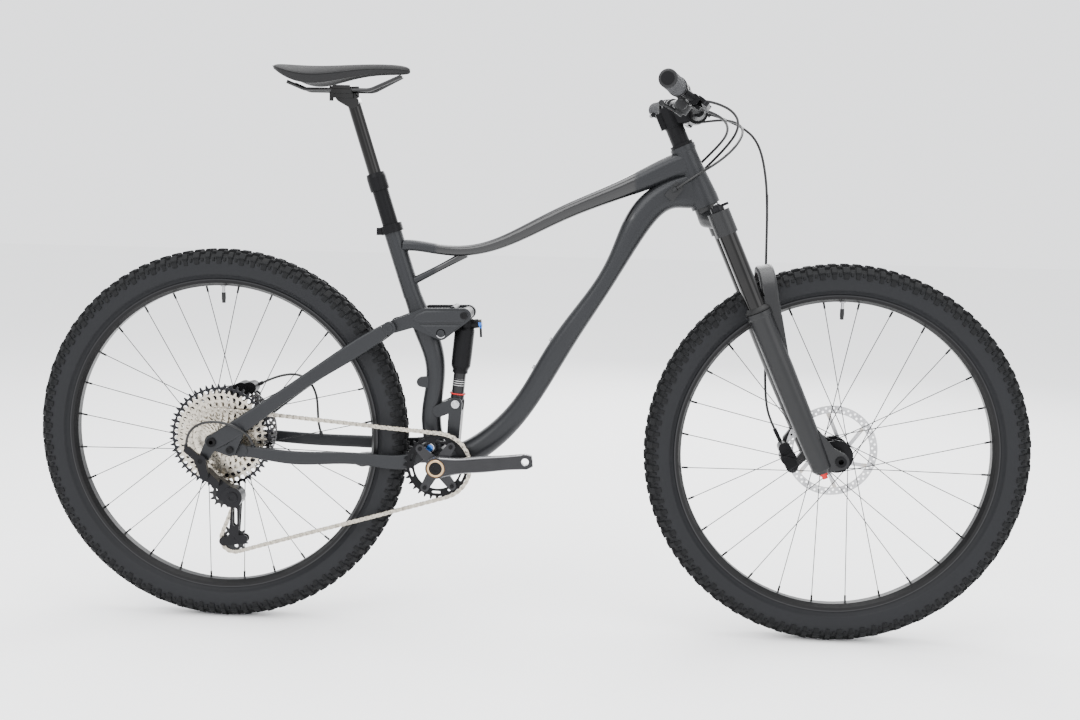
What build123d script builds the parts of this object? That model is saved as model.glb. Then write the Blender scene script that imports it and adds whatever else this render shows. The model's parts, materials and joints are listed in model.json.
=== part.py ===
from build123d import *
import math
import os

# Full-suspension mountain bike, millimetres.  +X forward, +Y to the rider's left, +Z up.
# The origin lies on the ground, midway between the two axles.  The drive side is -Y.

# ---- Driving dimensions -------------------------------------------------------------------
wheelbase = 1210.0
wheel_radius = 372.0
tyre_width = 58.0
rim_inner_radius = 299.0
rim_outer_radius = 313.0
rim_width = 34.0
rim_wall = 1.8
tyre_wall = 2.6
bead_half = rim_width / 2 - rim_wall - 0.25
spoke_count = 28
spoke_radius = 0.85

head_angle = 66.0
fork_offset = 51.0
head_tube_start = 543.5          # along the steering axis, from the foot beside the front axle
head_tube_length = 121.5
head_tube_radius = 22.5
steerer_radius = 14.3
stanchion_radius = 17.5
stanchion_lead = 13.0            # stanchions ahead of the steering axis
leg_spacing = 66.0               # stanchion centre from the mid plane
leg_radius = 23.0
leg_top = 326.0                  # wiper lip, along the steering axis
fork_travel = 130.0
front_hub_half = 55.0
front_axle_radius = 7.5

rear_hub_half = 74.0
rear_axle_radius = 6.0
bb_ahead = 437.0                 # bottom bracket ahead of the rear axle
bb_height = 333.0
bb_shell_radius = 24.0
bb_shell_half = 36.5
spindle_radius = 12.0

post_radius = 15.8
post_inner_radius = 13.0
seat_tube_radius = 17.6
top_tube_wall = 2.0
down_tube_wall = 2.2

crank_length = 175.0
crank_rise = 6.7                 # right arm above the horizontal, degrees
chain_pitch = 12.7
chain_roller_radius = 3.85
ring_teeth = 32
ring_y = -52.0
cassette_teeth = [10, 12, 14, 16, 18, 21, 24, 28, 33, 39, 45, 51]
cassette_small_y = -66.5
cassette_pitch = 3.745
driven_index = 7
pulley_teeth = 13

rotor_radius = 90.0
front_rotor_y = 39.0
rear_rotor_y = 58.0

bar_radius = 11.1
bar_clamp_radius = 15.9
grip_radius = 15.8
hose_radius = 2.5
housing_radius = 2.5

running_gap = 0.05               # radial clearance of a running fit
side_gap = 0.4                   # clearance between parts that slide past each other


# ---- Places -------------------------------------------------------------------------------
def at(ahead, height, y=0.0):
    """A point measured from the ground below the rear axle."""
    return Vector(ahead - wheelbase / 2, y, height)


tilt = math.radians(head_angle)
steer_up = Vector(-math.cos(tilt), 0, math.sin(tilt))
steer_out = Vector(math.sin(tilt), 0, math.cos(tilt))
rear_axle_at = at(0, wheel_radius)
front_axle_at = at(wheelbase, wheel_radius)
steer_foot = front_axle_at - steer_out * fork_offset


def on_steer(up, out=0.0, y=0.0):
    """A point measured up the steering axis and out in front of it."""
    return steer_foot + steer_up * up + steer_out * out + Vector(0, y, 0)


def near_bb(ahead, above, y=0.0):
    return at(bb_ahead + ahead, bb_height + above, y)


bb_at = near_bb(0, 0)
main_pivot_at = near_bb(-17, 33)
rocker_pivot_at = near_bb(3, 259)
shock_low_at = near_bb(30, 118)
shock_high_at = near_bb(47, 295)
rocker_rear_at = near_bb(-97, 267)
horst_at = at(35, wheel_radius - 15)

post_down = Vector(0.3005, 0, -0.9538)
seat_top_at = near_bb(-104, 464)
seat_kink_at = near_bb(-63.5, 338)


def on_post(up):
    """A point on the seatpost axis, measured up from the top of the seat tube."""
    return seat_top_at - post_down * up


# ---- Shape helpers ------------------------------------------------------------------------
def disc(centre, radius, y_from, y_to):
    """A cylinder lying across the bike."""
    middle = (y_from + y_to) / 2
    return Pos(centre.X, middle, centre.Z) * Rot(90, 0, 0) * Cylinder(radius, abs(y_to - y_from))


def rod(start, end, radius):
    axis = end - start
    return Plane(origin=(start + end) / 2, z_dir=axis) * Cylinder(radius, axis.length)


def turned(profile, origin, direction):
    """Revolve a closed outline of (radius, distance) points about a line."""
    outline = make_face(Polyline(*[(r, 0, s) for r, s in profile], close=True))
    return Plane(origin=origin, z_dir=direction) * revolve(outline, Axis.Z)


def across(sketch, y_from, y_to):
    """Extrude a side-view sketch across the bike."""
    return Pos(0, y_to, 0) * extrude(Plane.XZ * sketch, amount=y_to - y_from)


def flat(point):
    return (point.X, point.Z)


def hull_of(circles):
    """Side-view outline wrapped round circles given as (centre, radius)."""
    edges = [(Pos(*flat(centre)) * Circle(radius)).edge() for centre, radius in circles]
    return make_hull(edges)


def link_of(circles, y_from, y_to):
    """A plate through a chain of circles, each pair wrapped by its hull."""
    body = across(hull_of(circles[:2]), y_from, y_to)
    for pair in zip(circles[1:], circles[2:]):
        body += across(hull_of(list(pair)), y_from, y_to)
    return body


def shape_between(stations, shrink=0.0, corner=0.42):
    """Loft rounded rectangles; a station is (centre, width across, height, optional corner)."""
    faces = []
    for index, (centre, width, height, *share) in enumerate(stations):
        before = stations[max(index - 1, 0)][0]
        after = stations[min(index + 1, len(stations) - 1)][0]
        plane = Plane(origin=centre, x_dir=(0, 1, 0), z_dir=after - before)
        wide = width - 2 * shrink
        tall = height - 2 * shrink
        radius = (share[0] if share else corner) * min(wide, tall)
        faces.append(plane * RectangleRounded(wide, tall, radius))
    return loft(faces)


def grouped(bodies):
    return Compound(children=[piece for body in bodies for piece in body.solids()])


def tube_path(points, slack=0.45):
    """Straight runs joined by tangent arcs as large as their runs allow."""
    radii = []
    for before, here, after in zip(points, points[1:], points[2:]):
        shorter = min((here - before).length, (after - here).length)
        turn = math.radians((here - before).get_angle(after - here))
        radii.append(slack * shorter / math.tan(turn / 2))
    return FilletPolyline(*points, radius=radii), radii


def cord(points, radius, label):
    """A cable along its route, with the corner radii and its volume check printed."""
    path, radii = tube_path(points)
    section = Plane(origin=path @ 0, z_dir=path % 0) * Circle(radius)
    body = sweep(section, path=path)
    expected = math.pi * radius * radius * path.length
    print(label, "length", round(path.length), "radii", [round(r) for r in radii],
          "volume share", round(body.volume / expected, 4))
    return body


def gland(points, length, radius=4.0, at_end=False):
    """A short boss that meets the cut face of a cord at its start or its end."""
    tip, inner = (points[-1], points[-2]) if at_end else (points[0], points[1])
    return rod(tip, tip + (tip - inner).normalized() * length, radius)


# ---- Frame --------------------------------------------------------------------------------
head_tube_end = head_tube_start + head_tube_length
head_lower_radius = head_tube_radius + 5.5


def head_tube_outline():
    waist = head_tube_start + 0.62 * head_tube_length
    return [(0, head_tube_start), (head_lower_radius, head_tube_start),
            (head_lower_radius, head_tube_start + 16), (head_tube_radius + 0.5, waist),
            (head_tube_radius, head_tube_end - 12), (head_tube_radius + 1.5, head_tube_end - 8),
            (head_tube_radius + 1.5, head_tube_end), (0, head_tube_end)]


def head_tube_solid():
    return turned(head_tube_outline(), steer_foot, steer_up)


def make_head_tube():
    bore = turned([(0, head_tube_start - 1), (head_lower_radius - 4, head_tube_start - 1),
                   (head_lower_radius - 4, head_tube_start + 12),
                   (head_lower_radius - 7, head_tube_start + 18),
                   (head_tube_radius - 5, head_tube_end - 30),
                   (head_tube_radius - 3, head_tube_end - 9),
                   (head_tube_radius - 3, head_tube_end + 1), (0, head_tube_end + 1)],
                  steer_foot, steer_up)
    return head_tube_solid() - bore


def stations_between(start, end, rows):
    """Rows are (share of the way, lift off the straight line, width, height)."""
    along = end - start
    lift_dir = Vector(along.Z, 0, -along.X).normalized()
    if lift_dir.Z < 0:
        lift_dir = lift_dir * -1
    return [(start + along * share + lift_dir * lift, width, height)
            for share, lift, width, height in rows]


def top_tube_stations():
    rows = [(0.0, 0.0, 44, 52), (0.104, -2.7, 42, 44), (0.209, -10.5, 41, 36),
            (0.4515, -25.7, 38, 28), (0.648, -44.6, 36, 24), (0.754, -46.1, 34, 21),
            (0.861, -31.5, 33, 20), (1.0, 0.0, 33, 22)]
    return stations_between(on_steer(631, -7), near_bb(-78, 425), rows)


def down_tube_stations():
    rows = [(0.0, 0.0, 44, 66), (0.0466, 26.2, 47, 62), (0.0949, 43.3, 50, 55),
            (0.2324, 33.9, 52, 45), (0.516, -4.9, 52, 42), (0.7137, -32.8, 54, 43),
            (0.8266, -38.3, 56, 45), (0.9271, -26.7, 60, 48), (1.0, 0.0, 62, 46)]
    return stations_between(on_steer(578, 2), near_bb(13, 3), rows)


def seat_tube_stations():
    rows = [(seat_kink_at, 33.6, 33.6), (near_bb(-49, 299), 36, 38), (near_bb(-35, 263), 38, 43),
            (near_bb(-14, 197), 40, 38), (near_bb(-17, 127), 40, 37), (near_bb(-19, 67), 42, 38),
            (near_bb(-13, 29), 48, 42)]
    return [(centre, width, height, 0.46) for centre, width, height in rows]


def bb_shell_solid():
    boss = across(hull_of([(bb_at, bb_shell_radius - 2), (main_pivot_at, 13)]), -24, 24)
    return disc(bb_at, bb_shell_radius, -bb_shell_half, bb_shell_half) + boss


def make_bb_shell():
    body = bb_shell_solid()
    for side in (-1, 1):
        body += disc(bb_at, bb_shell_radius - 2, side * bb_shell_half, side * (bb_shell_half + 8))
    body -= disc(bb_at, 18.5, -bb_shell_half + 6, bb_shell_half - 6)
    body -= disc(bb_at, spindle_radius + running_gap, -60, 60)
    return body - disc(main_pivot_at, 6, -30, 30)


def seat_tube_solid():
    upper = rod(seat_kink_at + post_down * 12, seat_top_at, seat_tube_radius)
    boss = across(hull_of([(near_bb(-24, 264), 15), (rocker_pivot_at, 13)]), -17, 17)
    mount_tab = across(hull_of([(near_bb(-38, 159), 10), (near_bb(-22, 159), 12)]), -16, -6)
    return upper + shape_between(seat_tube_stations()) + boss + mount_tab


def make_seat_tube():
    hollow = shape_between(seat_tube_stations()[2:6], shrink=3.0)
    body = seat_tube_solid() + disc(rocker_pivot_at, 12, -32.6, 32.6)
    body -= rod(on_post(1), on_post(-190), post_radius)
    body -= hollow
    body -= disc(rocker_pivot_at, 6, -40, 40)
    return body - bb_shell_solid()


def make_down_tube():
    stations = down_tube_stations()
    body = shape_between(stations) - shape_between(stations, shrink=down_tube_wall)
    return body - head_tube_solid() - bb_shell_solid() - seat_tube_solid()


def make_top_tube():
    stations = top_tube_stations()
    body = shape_between(stations)
    strut = shape_between([(near_bb(45, 412), 22, 16), (near_bb(0, 387), 20, 13),
                           (near_bb(-66, 352), 22, 16)])
    body = (body + strut) - shape_between(stations, shrink=top_tube_wall)
    down = shape_between(down_tube_stations())
    return body - head_tube_solid() - down - seat_tube_solid()


def make_shock_bracket():
    arms = link_of([(near_bb(-3, 103), 12), (shock_low_at, 13), (near_bb(25, 42), 12)], -21, 21)
    eye_room = across(hull_of([(shock_low_at, 19), (shock_low_at + Vector(6, 0, 40), 24)]),
                      -14.5, 14.5)
    body = arms - eye_room - disc(shock_low_at, 5, -30, 30)
    body -= seat_tube_solid()
    body -= shape_between(down_tube_stations())
    return body - bb_shell_solid()


def make_frame_bolts():
    main_axle = disc(main_pivot_at, 6, -41, 41)
    main_axle += disc(main_pivot_at, 9, -41.5, -38.6) + disc(main_pivot_at, 9, 38.6, 41.5)
    rocker_axle = disc(rocker_pivot_at, 6, -45, 45)
    rocker_axle += disc(rocker_pivot_at, 9, -46, -43.6) + disc(rocker_pivot_at, 9, 43.6, 46)
    shock_bolt = disc(shock_low_at, 5, -24, 24) + disc(shock_low_at, 8, -25, -21)
    shock_bolt += disc(shock_low_at, 8, 21, 25)
    bolts = [main_axle, rocker_axle, shock_bolt]
    stations = down_tube_stations()
    down = shape_between(stations)
    along = (stations[5][0] - stations[4][0]).normalized()
    out = Vector(along.Z, 0, -along.X)
    out = out if out.Z > 0 else out * -1
    base = stations[4][0] + along * 30
    for reach in (0, 64):
        seat = base + along * reach + out * (stations[4][2] / 2)
        bolts.append(rod(seat - out * 4, seat + out * 5, 4.5) - down)
    return grouped(bolts)


def make_seat_clamp():
    ring = rod(on_post(-15), on_post(1), seat_tube_radius + 4)
    ear_at = on_post(-7) + Vector(-seat_tube_radius - 5, 0, -6)
    ring += Pos(*ear_at) * Box(12, 17, 14)
    ring -= rod(on_post(-20), on_post(0.1), seat_tube_radius + running_gap)
    ring -= rod(on_post(-20), on_post(5), post_radius)
    return ring


def make_seatpost_outer():
    body = rod(on_post(-188), on_post(1), post_radius - running_gap)
    body += rod(on_post(1), on_post(72), post_radius)
    body += turned([(0, 70), (18.5, 70), (19.0, 76), (19.0, 96), (17.5, 104), (0, 104)],
                   seat_top_at, post_down * -1)
    body -= rod(on_post(-183), on_post(110), post_inner_radius + running_gap)
    return body


def make_cable_port_covers():
    stations = down_tube_stations()
    down = shape_between(stations) + head_tube_solid()
    covers = []
    middle = near_bb(443, 540)
    ports = {-1: [dropper_points()], 1: [shift_points(), rear_hose_points()]}
    slant = Rot(0, -50, 0)
    for side in (-1, 1):
        plate = Pos(middle.X, side * 25, middle.Z) * slant * Box(34, 7, 20)
        for points in ports[side]:
            plate += gland(points, 8, 4.5, at_end=True)
        covers.append((plate - down).solids().sort_by(Axis.Y)[-1 if side > 0 else 0])
    return grouped(covers)


# ---- Fork ---------------------------------------------------------------------------------
crown_low = 481.0
crown_high = 527.0
crown_boss_radius = stanchion_radius + 3.6
steerer_end = 742.0


def make_fork_crown():
    faces = []
    rows = [(-66, 13, 504, 36, 42), (-34, 9, 514, 40, 36), (0, 2, 521, 52, 34),
            (34, 9, 514, 40, 36), (66, 13, 504, 36, 42)]
    for y, out, up, depth, height in rows:
        place = y * leg_spacing / 66
        plane = Plane(origin=on_steer(up, out, place), x_dir=steer_out, z_dir=(0, 1, 0))
        faces.append(plane * RectangleRounded(depth, height, 0.4 * height))
    body = loft(faces)
    for side in (-1, 1):
        y = side * leg_spacing
        body += rod(on_steer(crown_low, stanchion_lead, y), on_steer(crown_high, stanchion_lead, y),
                    crown_boss_radius)
    race = head_tube_start - side_gap
    steerer = turned([(0, race - 25), (23.5, race - 25), (23.5, race), (19.5, race),
                      (19.0, race + 24), (steerer_radius, race + 60),
                      (steerer_radius, steerer_end), (0, steerer_end)], steer_foot, steer_up)
    body += steerer
    body -= rod(on_steer(race + 10), on_steer(steerer_end + 1), steerer_radius - 2.4)
    for side in (-1, 1):
        y = side * leg_spacing
        body -= rod(on_steer(crown_low - 1, stanchion_lead, y),
                    on_steer(crown_high - 6, stanchion_lead, y), stanchion_radius)
    cap = rod(on_steer(crown_high, stanchion_lead, leg_spacing),
              on_steer(crown_high + 5, stanchion_lead, leg_spacing), 13)
    return body + cap


def make_stanchions():
    legs = []
    for side in (-1, 1):
        y = side * leg_spacing
        tube = rod(on_steer(170, stanchion_lead, y), on_steer(crown_high - 6, stanchion_lead, y),
                   stanchion_radius)
        tube -= rod(on_steer(169, stanchion_lead, y), on_steer(crown_high - 9, stanchion_lead, y),
                    stanchion_radius - 2)
        legs.append(tube)
    return grouped(legs)


def make_compression_dial():
    low = on_steer(crown_high + 0.3, stanchion_lead, -leg_spacing)
    body = rod(low, low + steer_up * 9, 13)
    body += rod(low + steer_up * 9, low + steer_up * 13, 8)
    lever = Plane(origin=low + steer_up * 8 + steer_out * 14, x_dir=steer_out, z_dir=steer_up)
    return body + lever * Box(18, 9, 5)


def make_fork_lowers():
    legs = None
    bore_end = leg_top - 291
    for side in (-1, 1):
        y = side * leg_spacing
        foot = on_steer(0, stanchion_lead, y)
        leg = turned([(0, -8), (13, -8), (19, 0), (20.5, 40), (leg_radius - 1, 110),
                      (leg_radius, 200), (leg_radius, leg_top - 14), (leg_radius + 1.5, leg_top - 10),
                      (leg_radius + 1.5, leg_top - 2), (stanchion_radius + 2, leg_top), (0, leg_top)],
                     foot, steer_up)
        y_in, y_out = sorted((side * (front_hub_half + 0.3), side * 73))
        dropout = link_of([(on_steer(70, stanchion_lead + 6), 15), (on_steer(18, 34), 18),
                           (front_axle_at, 16)], y_in, y_out)
        dropout += across(hull_of([(front_axle_at, 16), (on_steer(6, stanchion_lead + 2), 14)]),
                          y_in, y_out)
        leg += dropout
        legs = leg if legs is None else legs + leg
    arch_foot = 300.0
    start = on_steer(arch_foot, stanchion_lead + 21, -leg_spacing + 3)
    finish = on_steer(arch_foot, stanchion_lead + 21, leg_spacing - 3)
    arch_up = Vector(-0.16, 0, 0.987)
    rise = 30.0
    half = leg_spacing - 3
    top = (start + finish) / 2 + arch_up * (rise + half)
    path = Line(start, start + arch_up * rise)
    path += ThreePointArc(start + arch_up * rise, top, finish + arch_up * rise)
    path += Line(finish + arch_up * rise, finish)
    section = Plane(origin=start, x_dir=(0, 1, 0), z_dir=arch_up) * RectangleRounded(14, 32, 5)
    legs += sweep(section, path=path)
    legs -= disc(front_axle_at, front_axle_radius, -80, 80)
    for up, out, back_up, back_out, size in caliper_posts():
        legs += across(hull_of([(on_steer(up, out), 9), (on_steer(back_up, back_out), size)]),
                       48, 60)
    for side in (-1, 1):
        foot = on_steer(0, stanchion_lead, side * leg_spacing)
        legs -= rod(foot + steer_up * bore_end, foot + steer_up * (leg_top + 140),
                    stanchion_radius + running_gap)
        legs -= rod(foot + steer_up * (crown_low - fork_travel - 4),
                    foot + steer_up * (crown_high - fork_travel + 12), crown_boss_radius + 0.8)
    dial_seat = on_steer(-8.1, stanchion_lead, -leg_spacing)
    return legs - rod(dial_seat, dial_seat - steer_up * 14, 9.5)


def caliper_posts():
    """Upper and lower mounts behind the left leg: root up, root out, tip up, tip out, size."""
    return [(66, 6, 52, -22, 7), (12, 6, -2, -22, 7)]


def make_front_axle():
    axle = disc(front_axle_at, front_axle_radius, -74.5, 73)
    axle += disc(front_axle_at, 10.5, -76, -73)
    return axle - disc(front_axle_at, 5, -80, -60)


def caliper_body(centre, hub, rotor_y, along):
    """A two-piston calliper that straddles a rotor; along points from piston to banjo end."""
    length = along.normalized()
    ends = [(centre + length * 20, 12), (centre - length * 20, 12)]
    body = across(hull_of(ends), rotor_y - 15, rotor_y + 17)
    body += disc(centre, 15.5, rotor_y - 15.8, rotor_y + 21)
    body += disc(centre + length * 24, 6, rotor_y + 5, rotor_y + 24)
    return body - disc(hub, rotor_radius + 3, rotor_y - 2.4, rotor_y + 2.4)


def make_front_caliper():
    body = caliper_body(on_steer(21, -33), front_axle_at, front_rotor_y, steer_up)
    body += gland(front_hose_points(), 30, at_end=True)
    for up, out, back_up, back_out, size in caliper_posts():
        body -= across(hull_of([(on_steer(up, out), 9), (on_steer(back_up, back_out), size)]),
                       48, 60)
    legs = rod(on_steer(-10, stanchion_lead, leg_spacing), on_steer(200, stanchion_lead, leg_spacing),
               leg_radius + 0.5)
    return (body - legs).solids().sort_by(SortBy.VOLUME)[-1]


def make_rebound_dial():
    foot = on_steer(-8.3, stanchion_lead, -leg_spacing)
    return rod(foot, foot - steer_up * 5, 8) + rod(foot - steer_up * 5, foot - steer_up * 12, 5.5)


# ---- Cockpit ------------------------------------------------------------------------------
bar_up = 712.0
bar_out = 48.0
bar_end_up = 768.0
bar_end_out = -3.0
bar_half = 390.0
bar_bend_y = 125.0
bar_bend_up = 745.0
bar_bend_out = 35.0
stem_low = 705.0


def bar_points():
    right = [on_steer(bar_end_up, bar_end_out, -bar_half),
             on_steer(bar_bend_up, bar_bend_out, -bar_bend_y), on_steer(bar_up, bar_out, -48)]
    left = [Vector(p.X, -p.Y, p.Z) for p in reversed(right)]
    return right + left


def on_bar(y, up=0.0, out=0.0):
    """A point beside the outer straight of the handlebar at the given y."""
    share = (abs(y) - bar_bend_y) / (bar_half - bar_bend_y)
    rise = bar_bend_up + share * (bar_end_up - bar_bend_up)
    reach = bar_bend_out + share * (bar_end_out - bar_bend_out)
    return on_steer(rise + up, reach + out, y)


def bar_solid():
    path = FilletPolyline(*bar_points(), radius=[70, 60, 60, 70])
    section = Plane(origin=path @ 0, z_dir=path % 0) * Circle(bar_radius)
    return sweep(section, path=path)


def make_handlebar():
    centre = on_steer(bar_up, bar_out)
    middle = turned([(0, -62), (bar_radius - 0.5, -62), (bar_clamp_radius, -36),
                     (bar_clamp_radius, 36), (bar_radius - 0.5, 62), (0, 62)],
                    centre, Vector(0, 1, 0))
    return bar_solid() + middle


def make_stem():
    centre = on_steer(bar_up, bar_out)
    lower = Plane(origin=on_steer(stem_low + 17, 6), x_dir=(0, 1, 0), z_dir=steer_out)
    upper = Plane(origin=on_steer(bar_up + 2, bar_out - 6), x_dir=(0, 1, 0), z_dir=steer_out)
    body = loft([lower * RectangleRounded(33, 34, 8), upper * RectangleRounded(44, 30, 8)])
    body += rod(on_steer(stem_low), on_steer(stem_low + 37), 18.5)
    body += disc(centre, bar_clamp_radius + 5, -25, 25)
    body += Pos(*on_steer(stem_low + 18, -19)) * Rot(0, -(90 - head_angle), 0) * Box(12, 20, 32)
    body -= rod(on_steer(stem_low - 1), on_steer(stem_low + 37), steerer_radius + running_gap)
    body -= rod(on_steer(stem_low - 14), on_steer(stem_low + 0.1), 18.6)
    body -= disc(centre, bar_clamp_radius + running_gap, -40, 40)
    body -= disc(centre, bar_clamp_radius + 1.2, -7, 7)
    stack = rod(on_steer(head_tube_end + side_gap), on_steer(stem_low), 17.4)
    stack += rod(on_steer(head_tube_end + side_gap), on_steer(head_tube_end + 6), 22)
    groove = rod(on_steer(stem_low - 17), on_steer(stem_low - 16), 18) - rod(
        on_steer(stem_low - 17), on_steer(stem_low - 16), 16.8)
    stack = stack - groove - rod(on_steer(head_tube_end), on_steer(stem_low + 1),
                                 steerer_radius + running_gap)
    cap = rod(on_steer(stem_low + 37), on_steer(stem_low + 41), 17.5)
    cap -= rod(on_steer(stem_low + 38.5), on_steer(stem_low + 42), 5)
    return grouped([body, stack, cap])


def make_grips():
    grips = []
    for side in (-1, 1):
        inner, outer = on_bar(side * 258), on_bar(side * (bar_half - 0.5))
        along = (outer - inner).normalized()
        grip = rod(inner, outer + along * 5, grip_radius)
        grip += rod(inner, inner + along * 9, grip_radius + 1.2)
        grips.append(grip - rod(inner - along * 2, outer + along * 0.8, bar_radius + 0.15))
    return grouped(grips)


def bar_hole(side):
    return rod(on_bar(side * 140), on_bar(side * 300), bar_radius + running_gap)


lever_tilt = math.radians(35)    # brake levers and remotes point this far below the horizontal
lever_out = Vector(math.cos(lever_tilt), 0, -math.sin(lever_tilt))
lever_up = Vector(math.sin(lever_tilt), 0, math.cos(lever_tilt))
lever_y = 206.0


def on_lever(y, up=0.0, out=0.0):
    """A point beside the bar in the tilted frame of the levers."""
    return on_bar(y) + lever_up * up + lever_out * out


def brake_master(side, hose):
    clamp = rod(on_bar(side * 226), on_bar(side * 240), bar_radius + 4.5)
    tank = rod(on_lever(side * 152, 0, 24), on_lever(side * 226, 0, 29), 9.5)
    neck = rod(on_lever(side * 233, 0, 10), on_lever(side * 222, 0, 26), 7.5)
    head = rod(on_lever(side * lever_y, -11, 38), on_lever(side * lever_y, 11, 38), 8)
    joint = rod(on_lever(side * lever_y, 0, 24), on_lever(side * lever_y, 0, 38), 8)
    body = clamp + tank + neck + head + joint + gland(hose, 12) - bar_hole(side)
    gap = rod(on_lever(side * lever_y, -4.6, 46), on_lever(side * lever_y, 4.6, 46), 16.2)
    return body - gap


def make_brake_masters():
    return grouped([brake_master(-1, rear_hose_points()), brake_master(1, front_hose_points())])


def make_brake_lever(side):
    rows = [(lever_y, 38, 5.0), (222, 54, 5.2), (262, 62, 5.0), (318, 63, 5.4)]
    spots = [(on_lever(side * y, 0, out), radius) for y, out, radius in rows]
    body = None
    for (here, size), (ahead, size_ahead) in zip(spots, spots[1:]):
        plane = Plane(origin=here, x_dir=ahead - here, z_dir=lever_up)
        reach = (ahead - here).length
        edges = [Circle(size).edge(), (Pos(reach, 0) * Circle(size_ahead)).edge()]
        blade = plane * extrude(make_hull(edges), amount=4.0, both=True)
        body = blade if body is None else body + blade
    return body


def make_bar_remotes():
    shifter = rod(on_bar(-196), on_bar(-208), bar_radius + 4)
    shifter += rod(on_lever(-202, -9, 6), on_lever(-196, -18, 12), 7)
    shifter += rod(on_lever(-168, -19, 14), on_lever(-206, -19, 14), 9.5)
    shifter += rod(on_lever(-180, -15, 14), on_lever(-180, -31, 14), 15)
    shifter += gland(shift_points(), 8)
    remote = rod(on_bar(196), on_bar(208), bar_radius + 4)
    remote += rod(on_lever(202, -10, 0), on_lever(193, -20, 8), 7)
    remote += rod(on_lever(192, -15, 8), on_lever(192, -31, 8), 10)
    remote += gland(dropper_points(), 12)
    return grouped([shifter - bar_hole(-1), remote - bar_hole(1)])


def thumb_lever(side, y, out):
    """A thumb paddle that swings below its remote body."""
    low = -31.4
    hub = rod(on_lever(side * y, low, out), on_lever(side * y, low - 6, out), 9)
    arm = rod(on_lever(side * y, low - 3, out), on_lever(side * (y + 18), low - 6, out - 30), 2.9)
    paddle = rod(on_lever(side * (y + 8), low - 6, out - 30),
                 on_lever(side * (y + 34), low - 6, out - 28), 5)
    return hub + arm + paddle


# ---- Seatpost and saddle --------------------------------------------------------------------
post_travel = 125.0
post_overlap = 25.0
collar_top = 104.0
head_rise = 272.0


def make_seatpost_inner():
    body = rod(on_post(collar_top - post_travel - post_overlap), on_post(head_rise - 12),
               post_inner_radius)
    head = near_bb(-196, 720)
    seat = Pos(head.X, 0, head.Z - 9) * Box(42, 40, 12)
    neck = hull_of([(on_post(head_rise - 26), post_inner_radius), (head - Vector(0, 0, 9), 15)])
    body += across(neck, -14, 14)
    rails_low = Pos(head.X, 0, head.Z - 3) * Box(40, 54, 7.6)
    rails_high = Pos(head.X, 0, head.Z + 5) * Box(34, 54, 7.0)
    body += seat + rails_low + rails_high
    for offset in (-27, 27):
        bolt_at = head + Vector(offset * 0.93, 0, 0)
        body += rod(bolt_at + Vector(0, 0, -20), bolt_at + Vector(0, 0, 8), 4)
        body += Pos(head.X + offset * 0.7, 0, head.Z + 5) * Box(16, 12, 5)
        body += Pos(head.X + offset * 0.7, 0, head.Z - 12) * Box(16, 12, 5)
    for side in (-1, 1):
        body -= rail_rod(side)
    return body


def rail_points(side):
    return [near_bb(-300, 733, side * 33), near_bb(-268, 720, side * 22),
            near_bb(-142, 720, side * 22), near_bb(-84, 748, side * 9)]


def rail_rod(side):
    path = FilletPolyline(*rail_points(side), radius=[22, 34])
    return sweep(Plane(origin=path @ 0, z_dir=path % 0) * Circle(3.5), path=path)


def make_saddle_rails():
    return grouped([rail_rod(-1), rail_rod(1)])


def make_saddle():
    rows = [(-68, 1099, 1087, 18), (-78, 1104, 1080, 34), (-117, 1106, 1074, 44),
            (-157, 1103, 1070, 54), (-202, 1099, 1065, 78), (-247, 1097, 1060, 116),
            (-287, 1098, 1058, 142), (-313, 1097, 1062, 132), (-325, 1094, 1072, 96)]
    faces = []
    for ahead, top, low, width in rows:
        rise = (top + low) / 2 - 333.0
        plane = Plane(origin=near_bb(ahead, rise), x_dir=(0, 1, 0), z_dir=(-1, 0, 0))
        faces.append(plane * RectangleRounded(width, top - low, 0.45 * (top - low)))
    return loft(faces) - rail_rod(-1) - rail_rod(1)


# ---- Wheels -------------------------------------------------------------------------------
def casing_curve(inset):
    """The tyre's section from bead to bead, as (across, radius) points, inset from the tread."""
    half = tyre_width / 2
    height = wheel_radius - rim_outer_radius
    shares = [(0.80, 0.15), (1.0, 0.475), (0.965, 0.71), (0.78, 0.90), (0.38, 0.985)]
    side = [(bead_half, rim_outer_radius + 0.3)]
    side += [(half * across_share, rim_outer_radius + height * rise) for across_share, rise in shares]
    crown = (0, wheel_radius - 2 * inset)
    right = [(y - inset * (1.4 if y < half * 0.7 else 1), r - inset * (r / wheel_radius) ** 8)
             for y, r in side]
    return right + [crown] + [(-y, r) for y, r in reversed(right)]


def make_tyre(hub):
    """A hollow casing whose beads sit inside the rim, with its tread height included."""
    outer = casing_curve(0.0)
    inner = casing_curve(tyre_wall)
    foot = rim_outer_radius - 6.5
    edges = Spline(*outer)
    edges += Polyline(outer[-1], (outer[-1][0], foot), (inner[-1][0], foot), inner[-1])
    edges += Spline(*reversed(inner))
    edges += Polyline(inner[0], (inner[0][0], foot), (outer[0][0], foot), outer[0])
    ring = Plane.YZ * make_face(edges)
    return Pos(hub.X, 0, hub.Z) * revolve(ring, Axis.Y)


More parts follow.
